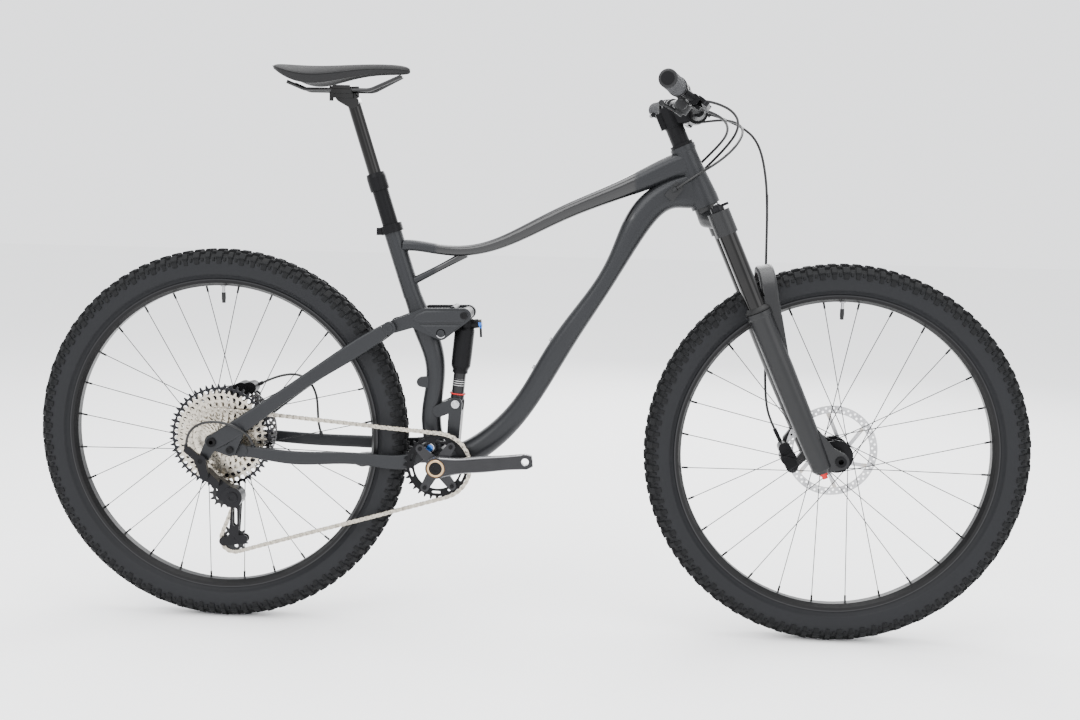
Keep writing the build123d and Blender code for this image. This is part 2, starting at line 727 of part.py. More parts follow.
def make_rim(hub):
    half = rim_width / 2
    outline = Polyline(
        (0, -half, rim_outer_radius), (0, -half, rim_outer_radius - 8),
        (0, -8, rim_inner_radius), (0, 8, rim_inner_radius), (0, half, rim_outer_radius - 8),
        (0, half, rim_outer_radius), (0, half - rim_wall, rim_outer_radius),
        (0, half - rim_wall, rim_outer_radius - 7), (0, 7, rim_inner_radius + 2.2),
        (0, -7, rim_inner_radius + 2.2), (0, rim_wall - half, rim_outer_radius - 7),
        (0, rim_wall - half, rim_outer_radius), close=True)
    ring = Pos(hub.X, 0, hub.Z) * revolve(make_face(outline), Axis.Y)
    foot = hub + Vector(0, 0, rim_inner_radius)
    valve = rod(foot - Vector(0, 0, 34), foot - Vector(0, 0, 14), 3.6)
    valve += rod(foot - Vector(0, 0, 14), foot + Vector(0, 0, 0.1), 2.6)
    return ring + valve


def make_spokes(hub, flange_ys, flange_radius=30.5, start=6.0):
    """Each spoke hooks through its flange, leaves near a tangent and ends in a nipple."""
    per_side = spoke_count // 2
    step = 360 / per_side
    cross = 3 * step
    spokes = []
    for number, flange_y in enumerate(flange_ys):
        for index in range(per_side):
            way = 1 if index % 2 else -1
            hub_angle = math.radians(start + index * step + number * step / 2)
            rim_angle = hub_angle + math.radians(way * cross)
            from_y = flange_y + way * 3.2
            inner = hub + Vector(flange_radius * math.sin(hub_angle), from_y,
                                 flange_radius * math.cos(hub_angle))
            side = 1 if flange_y > 0 else -1
            outer = hub + Vector(rim_inner_radius * math.sin(rim_angle), side * 3.0,
                                 rim_inner_radius * math.cos(rim_angle))
            along = (outer - inner).normalized()
            hook_end = Vector(inner.X, flange_y - way * 2.4, inner.Z)
            spoke = rod(inner, outer - along * 13, spoke_radius) + rod(inner, hook_end, spoke_radius)
            spokes.append(spoke + rod(outer - along * 13, outer - along * 0.8, 2.0))
    return grouped(spokes)


def make_front_hub():
    flange = 22.0
    body = turned([(0, -flange - 1.5), (32, -flange - 1.5), (32, -flange + 1.5), (24, -flange + 1.5),
                   (17, -flange + 6), (13, 0), (17, flange - 6), (24, flange - 1.5),
                   (32, flange - 1.5), (32, flange + 1.5), (24, flange + 1.5), (21, flange + 5),
                   (21, front_rotor_y - 1), (16, front_rotor_y - 1),
                   (16, front_rotor_y + 3), (12, front_rotor_y + 3), (12, front_hub_half),
                   (0, front_hub_half), (0, -flange - 1.5)][:-1], front_axle_at, Vector(0, 1, 0))
    body += disc(front_axle_at, 12, -front_hub_half, -flange)
    body += disc(front_axle_at, 17, -flange - 9, -flange)
    return body - disc(front_axle_at, front_axle_radius + running_gap, -60, 60)


def make_rear_hub():
    left, right = 32.0, -14.0
    body = turned([(0, right - 3), (20, right - 3), (24, right - 1.5), (32, right - 1.5),
                   (32, right + 1.5), (24, right + 1.5), (19, right + 7), (15, 10), (19, left - 7),
                   (24, left - 1.5), (32, left - 1.5), (32, left + 1.5), (24, left + 1.5),
                   (21, left + 5), (21, rear_rotor_y - 1), (16, rear_rotor_y - 1),
                   (16, rear_rotor_y + 3), (12, rear_rotor_y + 3), (12, rear_hub_half),
                   (0, rear_hub_half)], rear_axle_at, Vector(0, 1, 0))
    return body - disc(rear_axle_at, rear_axle_radius + running_gap, -80, 80)


def make_rotor(hub, rotor_y, bolt_turn):
    band = Circle(rotor_radius) - Circle(rotor_radius - 15)
    holes = PolarLocations(rotor_radius - 5, 36) * Circle(2.2)
    holes += PolarLocations(rotor_radius - 10.5, 36, start_angle=5) * Circle(2.4)
    band = band - holes
    centre = Circle(30)
    arms = None
    for index in range(6):
        arm = Rot(0, 0, 60 * index) * Pos(0, 51) * Rot(0, 0, 24) * Rectangle(7.5, 56)
        arms = arm if arms is None else arms + arm
    arms = arms & Circle(rotor_radius - 13)
    sketch = band + (centre + arms) - Circle(16)
    plane = Plane(origin=(hub.X, rotor_y + 1, hub.Z), x_dir=(1, 0, 0), z_dir=(0, -1, 0))
    disc_body = extrude(plane * sketch, amount=2.0)
    bolts = []
    for index in range(6):
        angle = math.radians(60 * index + bolt_turn)
        at_bolt = hub + Vector(22 * math.sin(angle), 0, 22 * math.cos(angle))
        bolts.append(disc(at_bolt, 4, rotor_y + 1, rotor_y + 3.2))
    disc_body -= disc(hub, 16 + running_gap, rotor_y - 3, rotor_y + 3)
    return grouped([disc_body, *bolts])


# ---- Drivetrain ---------------------------------------------------------------------------
def pitch_radius(teeth):
    return chain_pitch / (2 * math.sin(math.pi / teeth))


def sprocket_sketch(teeth, phase):
    """A toothed outline; a roller sits at the phase angle."""
    centre_radius = pitch_radius(teeth)
    points = []
    tooth = [(-4.4, -3.1), (-1.0, -2.2), (2.6, -0.8), (2.6, 0.8), (-1.0, 2.2), (-4.4, 3.1)]
    squeeze = min(1.0, centre_radius / 26)
    for index in range(teeth):
        angle = phase + 2 * math.pi * (index + 0.5) / teeth
        for rise, aside in tooth:
            radius = centre_radius + rise
            spread = angle + aside * squeeze / radius
            points.append((radius * math.cos(spread), radius * math.sin(spread)))
    return make_face(Polyline(*points, close=True))


def side_plane(centre, y):
    return Plane(origin=(centre.X, y, centre.Z), x_dir=(1, 0, 0), z_dir=(0, -1, 0))


def sprocket(centre, teeth, y, thick, phase, bore, cut=None):
    sketch = sprocket_sketch(teeth, phase) - Circle(bore)
    if cut is not None:
        sketch = sketch - cut
    return extrude(side_plane(centre, y + thick / 2) * sketch, amount=thick)


cage_pivot_at = at(36, 261)
guide_at = at(8, 259)
cage_length = 94.0
cog_teeth = cassette_teeth[driven_index]
chain_y_rear = cassette_small_y + cassette_pitch * driven_index


def tangent(circle_a, circle_b):
    """Ends of the straight run between two belt circles; a circle is (x, z, radius, way).

    Way is 1 for a wheel that turns clockwise in the side view and -1 for one that turns back.
    """
    ax, az, ra, wa = circle_a
    bx, bz, rb, wb = circle_b
    span = math.hypot(bx - ax, bz - az)
    heading = math.atan2(bz - az, bx - ax) + math.asin((wb * rb - wa * ra) / span)
    normal = (-math.sin(heading), math.cos(heading))
    start = (ax + wa * ra * normal[0], az + wa * ra * normal[1])
    end = (bx + wb * rb * normal[0], bz + wb * rb * normal[1])
    return start, end


def chain_route(tension_angle):
    """Circles in the running order of the belt and the tension pulley's place."""
    tension = guide_at + Vector(math.cos(tension_angle), 0, math.sin(tension_angle)) * cage_length
    ring, cog, pulley = pitch_radius(ring_teeth), pitch_radius(cog_teeth), pitch_radius(pulley_teeth)
    circles = [(bb_at.X, bb_at.Z, ring, 1), (tension.X, tension.Z, pulley, 1),
               (guide_at.X, guide_at.Z, pulley, -1), (rear_axle_at.X, rear_axle_at.Z, cog, 1)]
    return circles, tension


def belt_samples(circles, spacing=0.25):
    """Dense points along the closed belt, with the circle or span each belongs to."""
    count = len(circles)
    spans = [tangent(circles[i], circles[(i + 1) % count]) for i in range(count)]
    samples = []
    for i in range(count):
        start, end = spans[i]
        length = math.dist(start, end)
        steps = max(2, int(length / spacing))
        for k in range(steps):
            share = k / steps
            samples.append((start[0] + (end[0] - start[0]) * share,
                            start[1] + (end[1] - start[1]) * share, i + share))
        cx, cz, radius, way = circles[(i + 1) % count]
        leave = spans[(i + 1) % count][0]
        a0 = math.atan2(end[1] - cz, end[0] - cx)
        a1 = math.atan2(leave[1] - cz, leave[0] - cx)
        sweep_angle = ((a0 - a1) if way > 0 else (a1 - a0)) % (2 * math.pi)
        steps = max(2, int(sweep_angle * radius / spacing))
        for k in range(steps):
            angle = a0 - way * sweep_angle * k / steps
            samples.append((cx + radius * math.cos(angle), cz + radius * math.sin(angle), None))
    return samples


def roller_places(circles):
    """Walk the belt in chords of one pitch; also return the gap left at the end."""
    samples = belt_samples(circles)
    samples.append(samples[0])
    here = samples[0][:2]
    places = [here]
    index = 0
    while index < len(samples) - 1:
        ahead = samples[index + 1][:2]
        if math.dist(here, ahead) < chain_pitch:
            index += 1
            continue
        low, high = 0.0, 1.0
        base = samples[index][:2]
        for _ in range(30):
            share = (low + high) / 2
            trial = (base[0] + (ahead[0] - base[0]) * share, base[1] + (ahead[1] - base[1]) * share)
            if math.dist(here, trial) < chain_pitch:
                low = share
            else:
                high = share
        here = trial
        places.append(here)
    return places, math.dist(places[-1], samples[0][:2])


def solve_chain():
    """Swing the cage until a whole, even number of links closes the loop."""
    nominal = math.radians(-73)
    circles, tension = chain_route(nominal)
    places, _ = roller_places(circles)
    links = len(places) - (len(places) % 2)

    def surplus(angle):
        spots, rest = roller_places(chain_route(angle)[0])
        return (len(spots) - 1) * chain_pitch + rest - links * chain_pitch

    low, high = nominal - 0.35, nominal + 0.35
    low_value = surplus(low)
    for _ in range(40):
        angle = (low + high) / 2
        value = surplus(angle)
        if (value > 0) == (low_value > 0):
            low, low_value = angle, value
        else:
            high = angle
    circles, tension = chain_route(angle)
    places, _ = roller_places(circles)
    return circles, tension, places[:links]


chain_circles, tension_at, chain_places = solve_chain()


def chain_y(x, z):
    """The chain lies in the ring's plane at the front and the cog's at the rear."""
    front = bb_at.X - 20
    rear = rear_axle_at.X + 75
    share = min(1.0, max(0.0, (x - rear) / (front - rear)))
    eased = share * share * (3 - 2 * share)
    return chain_y_rear + (ring_y - chain_y_rear) * eased


def phase_on(circle):
    """The angle of a roller that lies on the given circle."""
    cx, cz, radius, way = circle
    best = min(chain_places, key=lambda p: abs(math.dist(p, (cx, cz)) - radius))
    return math.atan2(best[1] - cz, best[0] - cx)


def chain_link(outer):
    """Two plates with their pins or rollers, from the origin along +X."""
    near, far = (1.85, 2.6) if outer else (1.1, 1.8)
    plate = SlotCenterToCenter(chain_pitch, 7.6)
    plate -= Pos(0, 5.6) * Circle(2.6) + Pos(0, -5.6) * Circle(2.6)
    body = None
    for low in (near, -far):
        sheet = Pos(0, 0, low) * extrude(plate, amount=far - near)
        body = sheet if body is None else body + sheet
    for x in (-chain_pitch / 2, chain_pitch / 2):
        if outer:
            body += Pos(x, 0, 0) * Cylinder(1.75, 2 * far + 0.3)
        else:
            body += Pos(x, 0, 0) * Cylinder(chain_roller_radius, 2 * near)
            body -= Pos(x, 0, 0) * Cylinder(1.85, 2 * far + 1)
    return body


def make_chain():
    shapes = [chain_link(True), chain_link(False)]
    places = [Vector(x, chain_y(x, z), z) for x, z in chain_places]
    links = []
    for index, here in enumerate(places):
        ahead = places[(index + 1) % len(places)]
        along = ahead - here
        up = Vector(0, 1, 0).cross(along)
        plane = Plane(origin=(here + ahead) / 2, x_dir=along, z_dir=along.cross(up))
        links.append(plane * shapes[index % 2])
    return grouped(links)


def make_cassette():
    cogs = []
    for index, teeth in enumerate(cassette_teeth):
        y = cassette_small_y + cassette_pitch * index
        phase = phase_on(chain_circles[3]) if index == driven_index else 0.13 * index
        radius = pitch_radius(teeth)
        cut = None
        if teeth >= 21:
            hole = min(4.4, (radius - 28) / 3.2)
            ring = radius - 8 - hole
            count = int(2 * math.pi * ring / (2.9 * hole))
            cut = PolarLocations(ring, count, start_angle=7 * index) * Circle(hole)
        if teeth >= 39:
            inner = radius - 28
            cut += PolarLocations(inner - 6, 8, start_angle=11 * index) * Circle(11)
        cogs.append(sprocket(rear_axle_at, teeth, y, 1.8, phase, 16.5 if index else 13.0, cut))
    driver = disc(rear_axle_at, 16.5, cassette_small_y + 1.5, -17.6)
    driver += disc(rear_axle_at, 13.0, cassette_small_y - 2.5, cassette_small_y + 1.5)
    driver += disc(rear_axle_at, 19, -24.0, -19.4)
    driver -= disc(rear_axle_at, rear_axle_radius + running_gap, -90, 0)
    for index in range(1, len(cassette_teeth)):
        y = cassette_small_y + cassette_pitch * (index - 0.5)
        collar = disc(rear_axle_at, 19.0, y - 0.97, y + 0.97) - disc(rear_axle_at, 16.5, -80, 0)
        cogs.append(collar)
    body = driver
    for cog in cogs:
        body += cog
    return body


def arm_direction():
    angle = math.radians(crank_rise)
    return Vector(math.cos(angle), 0, math.sin(angle))


def crank_arm(way):
    """A hollow-forged arm; way is -1 for the drive side."""
    along = arm_direction() * (-way)
    rows = [(-14, 64, 34, 15), (0, 66, 42, 19), (22, 67, 37, 19), (70, 71, 31, 17),
            (130, 76, 29, 14), (165, 79, 30, 13), (189, 79.5, 22, 11)]
    faces = []
    for reach, y, height, thick in rows:
        plane = Plane(origin=bb_at + along * (reach * crank_length / 175) + Vector(0, way * y, 0),
                      x_dir=(0, 1, 0), z_dir=along)
        faces.append(plane * RectangleRounded(thick, height, 0.34 * thick))
    body = loft(faces)
    y_in, y_out = sorted((way * 57, way * 77))
    body += disc(bb_at, 20.5, y_in, y_out)
    eye = bb_at + along * crank_length
    eye_in, eye_out = sorted((way * 73.2, way * 86))
    body += disc(eye, 14.5, eye_in, eye_out)
    return body - disc(eye, 7.14, -100, 100)


def make_crank_arm_right():
    body = crank_arm(-1)
    for angle in spider_angles:
        tip = bb_at + Vector(math.cos(angle), 0, math.sin(angle)) * 48
        arm = across(hull_of([(bb_at, 12), (tip, 8.5)]), -61, -55.5)
        body += arm
        body -= disc(tip, 4.2, -70, -50)
    body -= disc(bb_at, spindle_radius + running_gap, -79, -40)
    return body


spider_angles = [math.radians(a) for a in (134, 56, 241, 309)]


def make_crank_arm_left():
    body = crank_arm(1)
    spindle = disc(bb_at, spindle_radius, -78, 60) - disc(bb_at, spindle_radius - 2.5, -79, 50)
    return body + spindle


def make_chainring():
    phase = phase_on(chain_circles[0])
    radius = pitch_radius(ring_teeth)
    windows = None
    for angle in spider_angles:
        for shift in (-0.30, 0.30):
            spot = Pos((radius - 12.5) * math.cos(angle + shift + 0.78),
                       (radius - 12.5) * math.sin(angle + shift + 0.78))
            hole = spot * Rot(0, 0, math.degrees(angle + shift + 0.78) + 90) * SlotCenterToCenter(12, 5)
            windows = hole if windows is None else windows + hole
    teeth_layer = sprocket(bb_at, ring_teeth, ring_y, 1.9, phase, radius - 19, windows)
    carrier = Circle(radius - 6.2) - Circle(radius - 19) - windows
    body = teeth_layer
    body += extrude(side_plane(bb_at, ring_y + 1.9) * carrier, amount=3.8)
    for angle in spider_angles:
        tip = bb_at + Vector(math.cos(angle), 0, math.sin(angle)) * 48
        body += disc(tip, 8.0, ring_y - 3.5, ring_y + 1.9)
        body += disc(tip, 4.2, ring_y - 11, ring_y - 3.5)
    return body


def make_pulley(centre, circle):
    phase = phase_on(circle)
    body = sprocket(centre, pulley_teeth, chain_y_rear, 1.9, phase, 4.05)
    for index in range(5):
        angle = math.radians(72 * index)
        spot = centre + Vector(math.cos(angle), 0, math.sin(angle)) * 14
        body -= disc(spot, 3.6, -60, -20)
    return body + (disc(centre, 8, chain_y_rear - 3.4, chain_y_rear + 3.4) - disc(centre, 4.05, -60, -20))


def make_cage():
    """Two plates joined by the pulley pins, with the clutch boss's inner shaft."""
    inner_y, outer_y = chain_y_rear + 5.0, chain_y_rear - 5.0
    plates = None
    for y_from, y_to in ((inner_y, inner_y + 1.8), (outer_y - 1.8, outer_y)):
        shape = across(hull_of([(guide_at, 13), (cage_pivot_at, 11)]), y_from, y_to)
        shape += across(hull_of([(cage_pivot_at, 9), (tension_at, 10)]), y_from, y_to)
        shape += across(hull_of([(tension_at + Vector(-20, 0, -4), 9),
                                 (tension_at + Vector(20, 0, 2), 9)]), y_from, y_to)
        mid = cage_pivot_at + (tension_at - cage_pivot_at) * 0.5
        shape -= across(hull_of([(mid + Vector(0, 0, 14), 4.2), (mid - Vector(0, 0, 14), 4.2)]),
                        y_from - 1, y_to + 1)
        plates = shape if plates is None else plates + shape
    for centre in (guide_at, tension_at):
        plates += disc(centre, 4.0, outer_y - 2.6, inner_y + 1.8)
    return plates + disc(cage_pivot_at, 5, outer_y - 16, outer_y)


hanger_at = at(-17, 340)
b_knuckle_at = at(-21, 335)


def make_derailleur_body():
    top_y = chain_y_rear - 7.2
    body = disc(b_knuckle_at, 12, -94, -83.4)
    body += across(hull_of([(b_knuckle_at, 10), (at(-14, 308), 9)]), -94, -84)
    links = across(hull_of([(at(-14, 308), 9), (at(6, 290), 8)]), -88, -64)
    body += links
    body += across(hull_of([(at(6, 290), 9), (cage_pivot_at, 15)]), -74, -58)
    body += disc(cage_pivot_at, 20, -78, top_y - 2)
    body += across(hull_of([(b_knuckle_at, 7), (at(-46, 356), 7)]), -94, -88)
    body += gland(shift_tail_points(), 8, 3.5, at_end=True)
    body -= disc(cage_pivot_at, 5 + running_gap, -72, -20)
    return body - disc(b_knuckle_at, 5, -100, -60)


# ---- Rear suspension ----------------------------------------------------------------------
def make_chainstay():
    rows_right = [(at(47, 352, -69.5), 8, 24), (at(110, 346, -63), 11, 24),
                  (at(220, 341, -51.5), 12, 24), (at(320, 337, -43), 9.5, 26),
                  (near_bb(-55, 7, -40.4), 8, 28), (near_bb(-36, 20, -34), 12, 26)]
    rows_left = [(at(47, 357, 69.5), 8, 24), (at(110, 357, 65.5), 9, 24),
                 (at(220, 356, 53), 13, 24), (at(320, 356, 45), 12, 25),
                 (near_bb(-55, 24, 41), 10, 26), (near_bb(-36, 28, 34), 12, 26)]
    body = None
    for rows, side in ((rows_right, -1), (rows_left, 1)):
        stay = shape_between([(c, w, h, 0.3) for c, w, h in rows])
        y_a, y_b = sorted((side * 66.2, side * 73.4))
        stay += across(hull_of([(horst_at, 12), (at(54, 355), 12)]), y_a, y_b)
        e_a, e_b = sorted((side * 24.5, side * 38))
        stay += across(hull_of([(main_pivot_at, 12.4), (near_bb(-40, 22), 11)]), e_a, e_b)
        body = stay if body is None else body + stay
    bridge = rod(near_bb(-46, 18, -40), near_bb(-46, 20, 40), 7.5)
    body += bridge
    body += gland(shift_tail_points(), 8) + gland(rear_tail_points(), 7, at_end=True)
    body -= disc(main_pivot_at, 6 + running_gap, -60, 60)
    body -= disc(horst_at, 5 + running_gap, -90, 90)
    return body


def seatstay(side):
    rows = [(at(2, 371), 82, 12, 30), (at(36, 392), 80.5, 12, 33), (at(84, 426), 73, 13, 30),
            (at(170, 488), 62, 14, 25), (at(284, 564), 50.5, 12, 32), (at(330, 594), 48.9, 9, 24)]
    stations = [(Vector(p.X, side * y, p.Z), w, h, 0.35) for p, y, w, h in rows]
    body = shape_between(stations)
    y_a, y_b = sorted((side * (rear_hub_half + side_gap), side * 84))
    body += across(hull_of([(rear_axle_at, 15), (horst_at, 12.5)]), y_a, y_b)
    body += across(hull_of([(horst_at, 12.5), (at(50, 398), 14)]), y_a, y_b)
    e_a, e_b = sorted((side * 43.5, side * 53))
    body += disc(rocker_rear_at, 13, e_a, e_b)
    p_a, p_b = sorted((side * 66.0, side * 87))
    pin = disc(horst_at, 5, p_a, p_b)
    body += pin
    clear_a, clear_b = sorted((side * 20, side * (rear_hub_half + side_gap)))
    body -= disc(horst_at, 19, clear_a, clear_b) - pin
    body -= disc(rear_axle_at, 26, clear_a, clear_b)
    rocker_a, rocker_b = sorted((side * 20, side * 43.5))
    return body - disc(rocker_rear_at, 30, rocker_a, rocker_b)


def caliper_feet():
    return [(at(46, 400), at(44, 443)), (at(-8, 386), at(-6, 449))]


def make_seatstays():
    right, left = seatstay(-1), seatstay(1)
    right += across(hull_of([(rear_axle_at, 13), (hanger_at, 10)]), -83, -76)
    right -= disc(rear_axle_at, rear_axle_radius + running_gap, -90, -50)
    left -= disc(rear_axle_at, rear_axle_radius + running_gap, 50, 90)
    for root, tip in caliper_feet():
        left += across(hull_of([(root, 8), (tip, 6)]), 75, 82)
    return grouped([right, left])


def make_rear_axle():
    axle = disc(rear_axle_at, rear_axle_radius, -89, 84)
    axle += disc(rear_axle_at, 9, -92, -88.2)
    pin = disc(b_knuckle_at, 5, -93, -83.4)
    return grouped([axle - disc(rear_axle_at, 4, -93, -75), pin])


def make_rear_caliper():
    centre = at(19, 455)
    body = caliper_body(centre, rear_axle_at, rear_rotor_y, Vector(1, 0, 0.25))
    body += gland(rear_tail_points(), 12)
    for root, tip in caliper_feet():
        body += disc(tip, 5.5, 62, 74.6)
    return body.solids().sort_by(SortBy.VOLUME)[-1]


def make_rocker():
    y_in, y_out = 33.0, 43.0
    body = None
    for side in (-1, 1):
        y_a, y_b = sorted((side * y_in, side * y_out))
        rear = across(hull_of([(rocker_rear_at, 12), (near_bb(-52, 283), 14)]), y_a, y_b)
        middle = across(hull_of([(near_bb(-52, 283), 14), (near_bb(-30, 290), 17),
                                 (rocker_pivot_at, 13), (shock_high_at, 14)]), y_a, y_b)
        plate = rear + middle
        body = plate if body is None else body + plate
    body += rod(near_bb(24, 305, -y_in - 2), near_bb(24, 305, y_in + 2), 6.5)
    body -= disc(rocker_pivot_at, 6 + running_gap, -60, 60)
    pins = [disc(rocker_rear_at, 6, y_in - 1.5, 43.0), disc(rocker_rear_at, 6, -43.0, 1.5 - y_in)]
    for pin in pins:
        body += pin
    for side in (-1, 1):
        y_a, y_b = sorted((side * (y_out - 1), side * (y_out + 2.2)))
        body += disc(shock_high_at, 8, y_a, y_b)
    return body


shock_line = (shock_high_at - shock_low_at).normalized()


def on_shock(up, y=0.0):
    return shock_low_at + shock_line * up + Vector(0, y, 0)


def make_shock_shaft():
    body = disc(shock_low_at, 9, -11, 11) + rod(on_shock(6), on_shock(98), 12.3)
    body += rod(on_shock(8), on_shock(16), 13.5)
    body += turned([(12.0, 17.0), (13.6, 18.0), (13.6, 19.2), (12.0, 20.2)],
                   shock_low_at, shock_line)
    return body - disc(shock_low_at, 5 + running_gap, -12, 12)


def make_shock_can():
    body = turned([(0, 60), (15.2, 60), (15.2, 66), (19, 74), (19.6, 90), (19.6, 146),
                   (17.5, 151), (0, 151)], shock_low_at, shock_line)
    body += rod(on_shock(148), on_shock(168), 15)
    body += rod(on_shock(158, -14), on_shock(158, 14), 12)
    body += rod(on_shock(155), on_shock(155) + Vector(26, 0, 4), 9)
    body += disc(shock_high_at, 12, -26, 26)
    inner = rod(on_shock(40), on_shock(140), 12.3 + running_gap)
    return body - inner


def make_shock_lever():
    hub = on_shock(155) + Vector(26.4, 0, 4)
    body = rod(hub, hub + Vector(6, 0, 0.9), 7.5)
    return body + rod(hub + Vector(3.5, 0, 0), hub + Vector(5, 0, -27), 2.4)


# ---- Cables -------------------------------------------------------------------------------
def route(rows):
    return [at(ahead, height, y) for ahead, height, y in rows]


def front_hose_points():
    return route([(906, 1034, 146), (914, 1034, 128), (934, 1031, 116), (962, 1024, 112),
                  (990, 1014, 112), (1017, 1001, 110), (1038, 984, 105), (1052, 958, 99),
                  (1061, 920, 92), (1067, 872, 87), (1069, 820, 85), (1070, 767, 87),
                  (1072, 713, 92), (1075, 658, 96), (1077, 602, 96), (1078, 546, 91),
                  (1079, 494, 82), (1082, 455, 73), (1089, 428, 66), (1099, 408, 60)])


def dropper_points():
    return route([(880, 1025, 182), (884, 1019, 165), (898, 1012, 147), (922, 1010, 129),
                  (952, 1014, 108), (981, 1015, 84), (1002, 1008, 58), (1010, 994, 31),
                  (1004, 975, 6), (986, 952, -16), (960, 930, -34), (930, 911, -42),
                  (903, 893, -39), (884, 880, -31)])


def shift_points():
    return route([(887, 1025, -164), (892, 1025, -148), (906, 1024, -132), (926, 1020, -118),
                  (947, 1014, -102), (965, 1005, -80), (974, 993, -54), (973, 979, -28),
                  (964, 965, -2), (950, 949, 21), (934, 932, 35), (917, 914, 41),
                  (902, 898, 38), (893, 888, 31)])


def rear_hose_points():
    return route([(906, 1034, -146), (914, 1036, -128), (934, 1036, -112), (957, 1031, -98),
                  (978, 1022, -80), (992, 1008, -56), (994, 990, -30), (985, 971, -3),
                  (968, 949, 22), (947, 926, 37), (924, 903, 42), (904, 884, 38),
                  (891, 872, 31)])


def shift_tail_points():
    return route([(76, 366, -70), (75, 379, -79), (66, 394, -89), (45, 408, -96),
                  (17, 415, -98), (-11, 413, -98), (-33, 402, -96), (-46, 385, -93),
                  (-49, 367, -91)])


def rear_tail_points():
    return route([(56, 467, 77), (73, 475, 81), (94, 482, 83), (118, 486, 82),
                  (141, 482, 78), (158, 467, 75), (168, 446, 73), (171, 424, 71),
                  (173, 402, 66), (176, 384, 60), (181, 371, 56)])


# ---- Write every piece --------------------------------------------------------------------
pieces = {
    "head_tube": make_head_tube,
    "top_tube": make_top_tube,
    "down_tube": make_down_tube,
    "seat_tube": make_seat_tube,
    "bottom_bracket_shell": make_bb_shell,
    "shock_bracket": make_shock_bracket,
    "frame_bolts": make_frame_bolts,
    "seat_clamp": make_seat_clamp,
    "seatpost_outer": make_seatpost_outer,
    "cable_port_covers": make_cable_port_covers,
    "chain": make_chain,
    "front_brake_hose": lambda: cord(front_hose_points(), hose_radius, "front brake hose"),
    "rear_brake_hose": lambda: grouped([
        cord(rear_hose_points(), hose_radius, "rear brake hose"),
        cord(rear_tail_points(), hose_radius, "rear brake hose tail")]),
    "shift_housing": lambda: grouped([
        cord(shift_points(), housing_radius, "shift housing"),
        cord(shift_tail_points(), housing_radius, "shift housing tail")]),
    "dropper_housing": lambda: cord(dropper_points(), housing_radius, "dropper housing"),
    "seatpost_inner": make_seatpost_inner,
    "saddle_rails": make_saddle_rails,
    "saddle": make_saddle,
    "fork_crown": make_fork_crown,
    "stanchions": make_stanchions,
    "stem": make_stem,
    "handlebar": make_handlebar,
    "grips": make_grips,
    "brake_masters": make_brake_masters,
    "bar_remotes": make_bar_remotes,
    "brake_lever_right": lambda: make_brake_lever(-1),
    "brake_lever_left": lambda: make_brake_lever(1),
    "shift_lever": lambda: thumb_lever(-1, 180, 14),
    "dropper_lever": lambda: thumb_lever(1, 192, 8),
    "compression_dial": make_compression_dial,
    "rebound_dial": make_rebound_dial,
    "fork_lowers": make_fork_lowers,
    "front_axle": make_front_axle,
    "front_caliper": make_front_caliper,
    "front_tyre": lambda: make_tyre(front_axle_at),
    "front_rim": lambda: make_rim(front_axle_at),
    "front_spokes": lambda: make_spokes(front_axle_at, (-22.0, 22.0)),
    "front_hub": make_front_hub,
    "front_rotor": lambda: make_rotor(front_axle_at, front_rotor_y, 12),
    "rear_tyre": lambda: make_tyre(rear_axle_at),
    "rear_rim": lambda: make_rim(rear_axle_at),
    "rear_spokes": lambda: make_spokes(rear_axle_at, (-14.0, 32.0)),
    "rear_hub": make_rear_hub,
    "rear_rotor": lambda: make_rotor(rear_axle_at, rear_rotor_y, 12),
    "cassette_sprockets": make_cassette,
    "crank_arm_right": make_crank_arm_right,
    "crank_arm_left": make_crank_arm_left,
    "chainring": make_chainring,
    "chainstay": make_chainstay,
    "seatstays": make_seatstays,
    "rear_axle": make_rear_axle,
    "rear_caliper": make_rear_caliper,
    "derailleur_body": make_derailleur_body,
    "rocker_link": make_rocker,
    "shock_shaft": make_shock_shaft,
    "shock_can": make_shock_can,
    "shock_lever": make_shock_lever,
    "derailleur_cage": make_cage,
    "guide_pulley": lambda: make_pulley(guide_at, chain_circles[2]),
    "tension_pulley": lambda: make_pulley(tension_at, chain_circles[1]),
}

os.makedirs("parts", exist_ok=True)
for name, make in pieces.items():
    export_step(make(), f"parts/{name}.step")
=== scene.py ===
import json
import math

import bpy
from bpy.props import FloatProperty, FloatVectorProperty, IntProperty, PointerProperty
from mathutils import Matrix, Vector

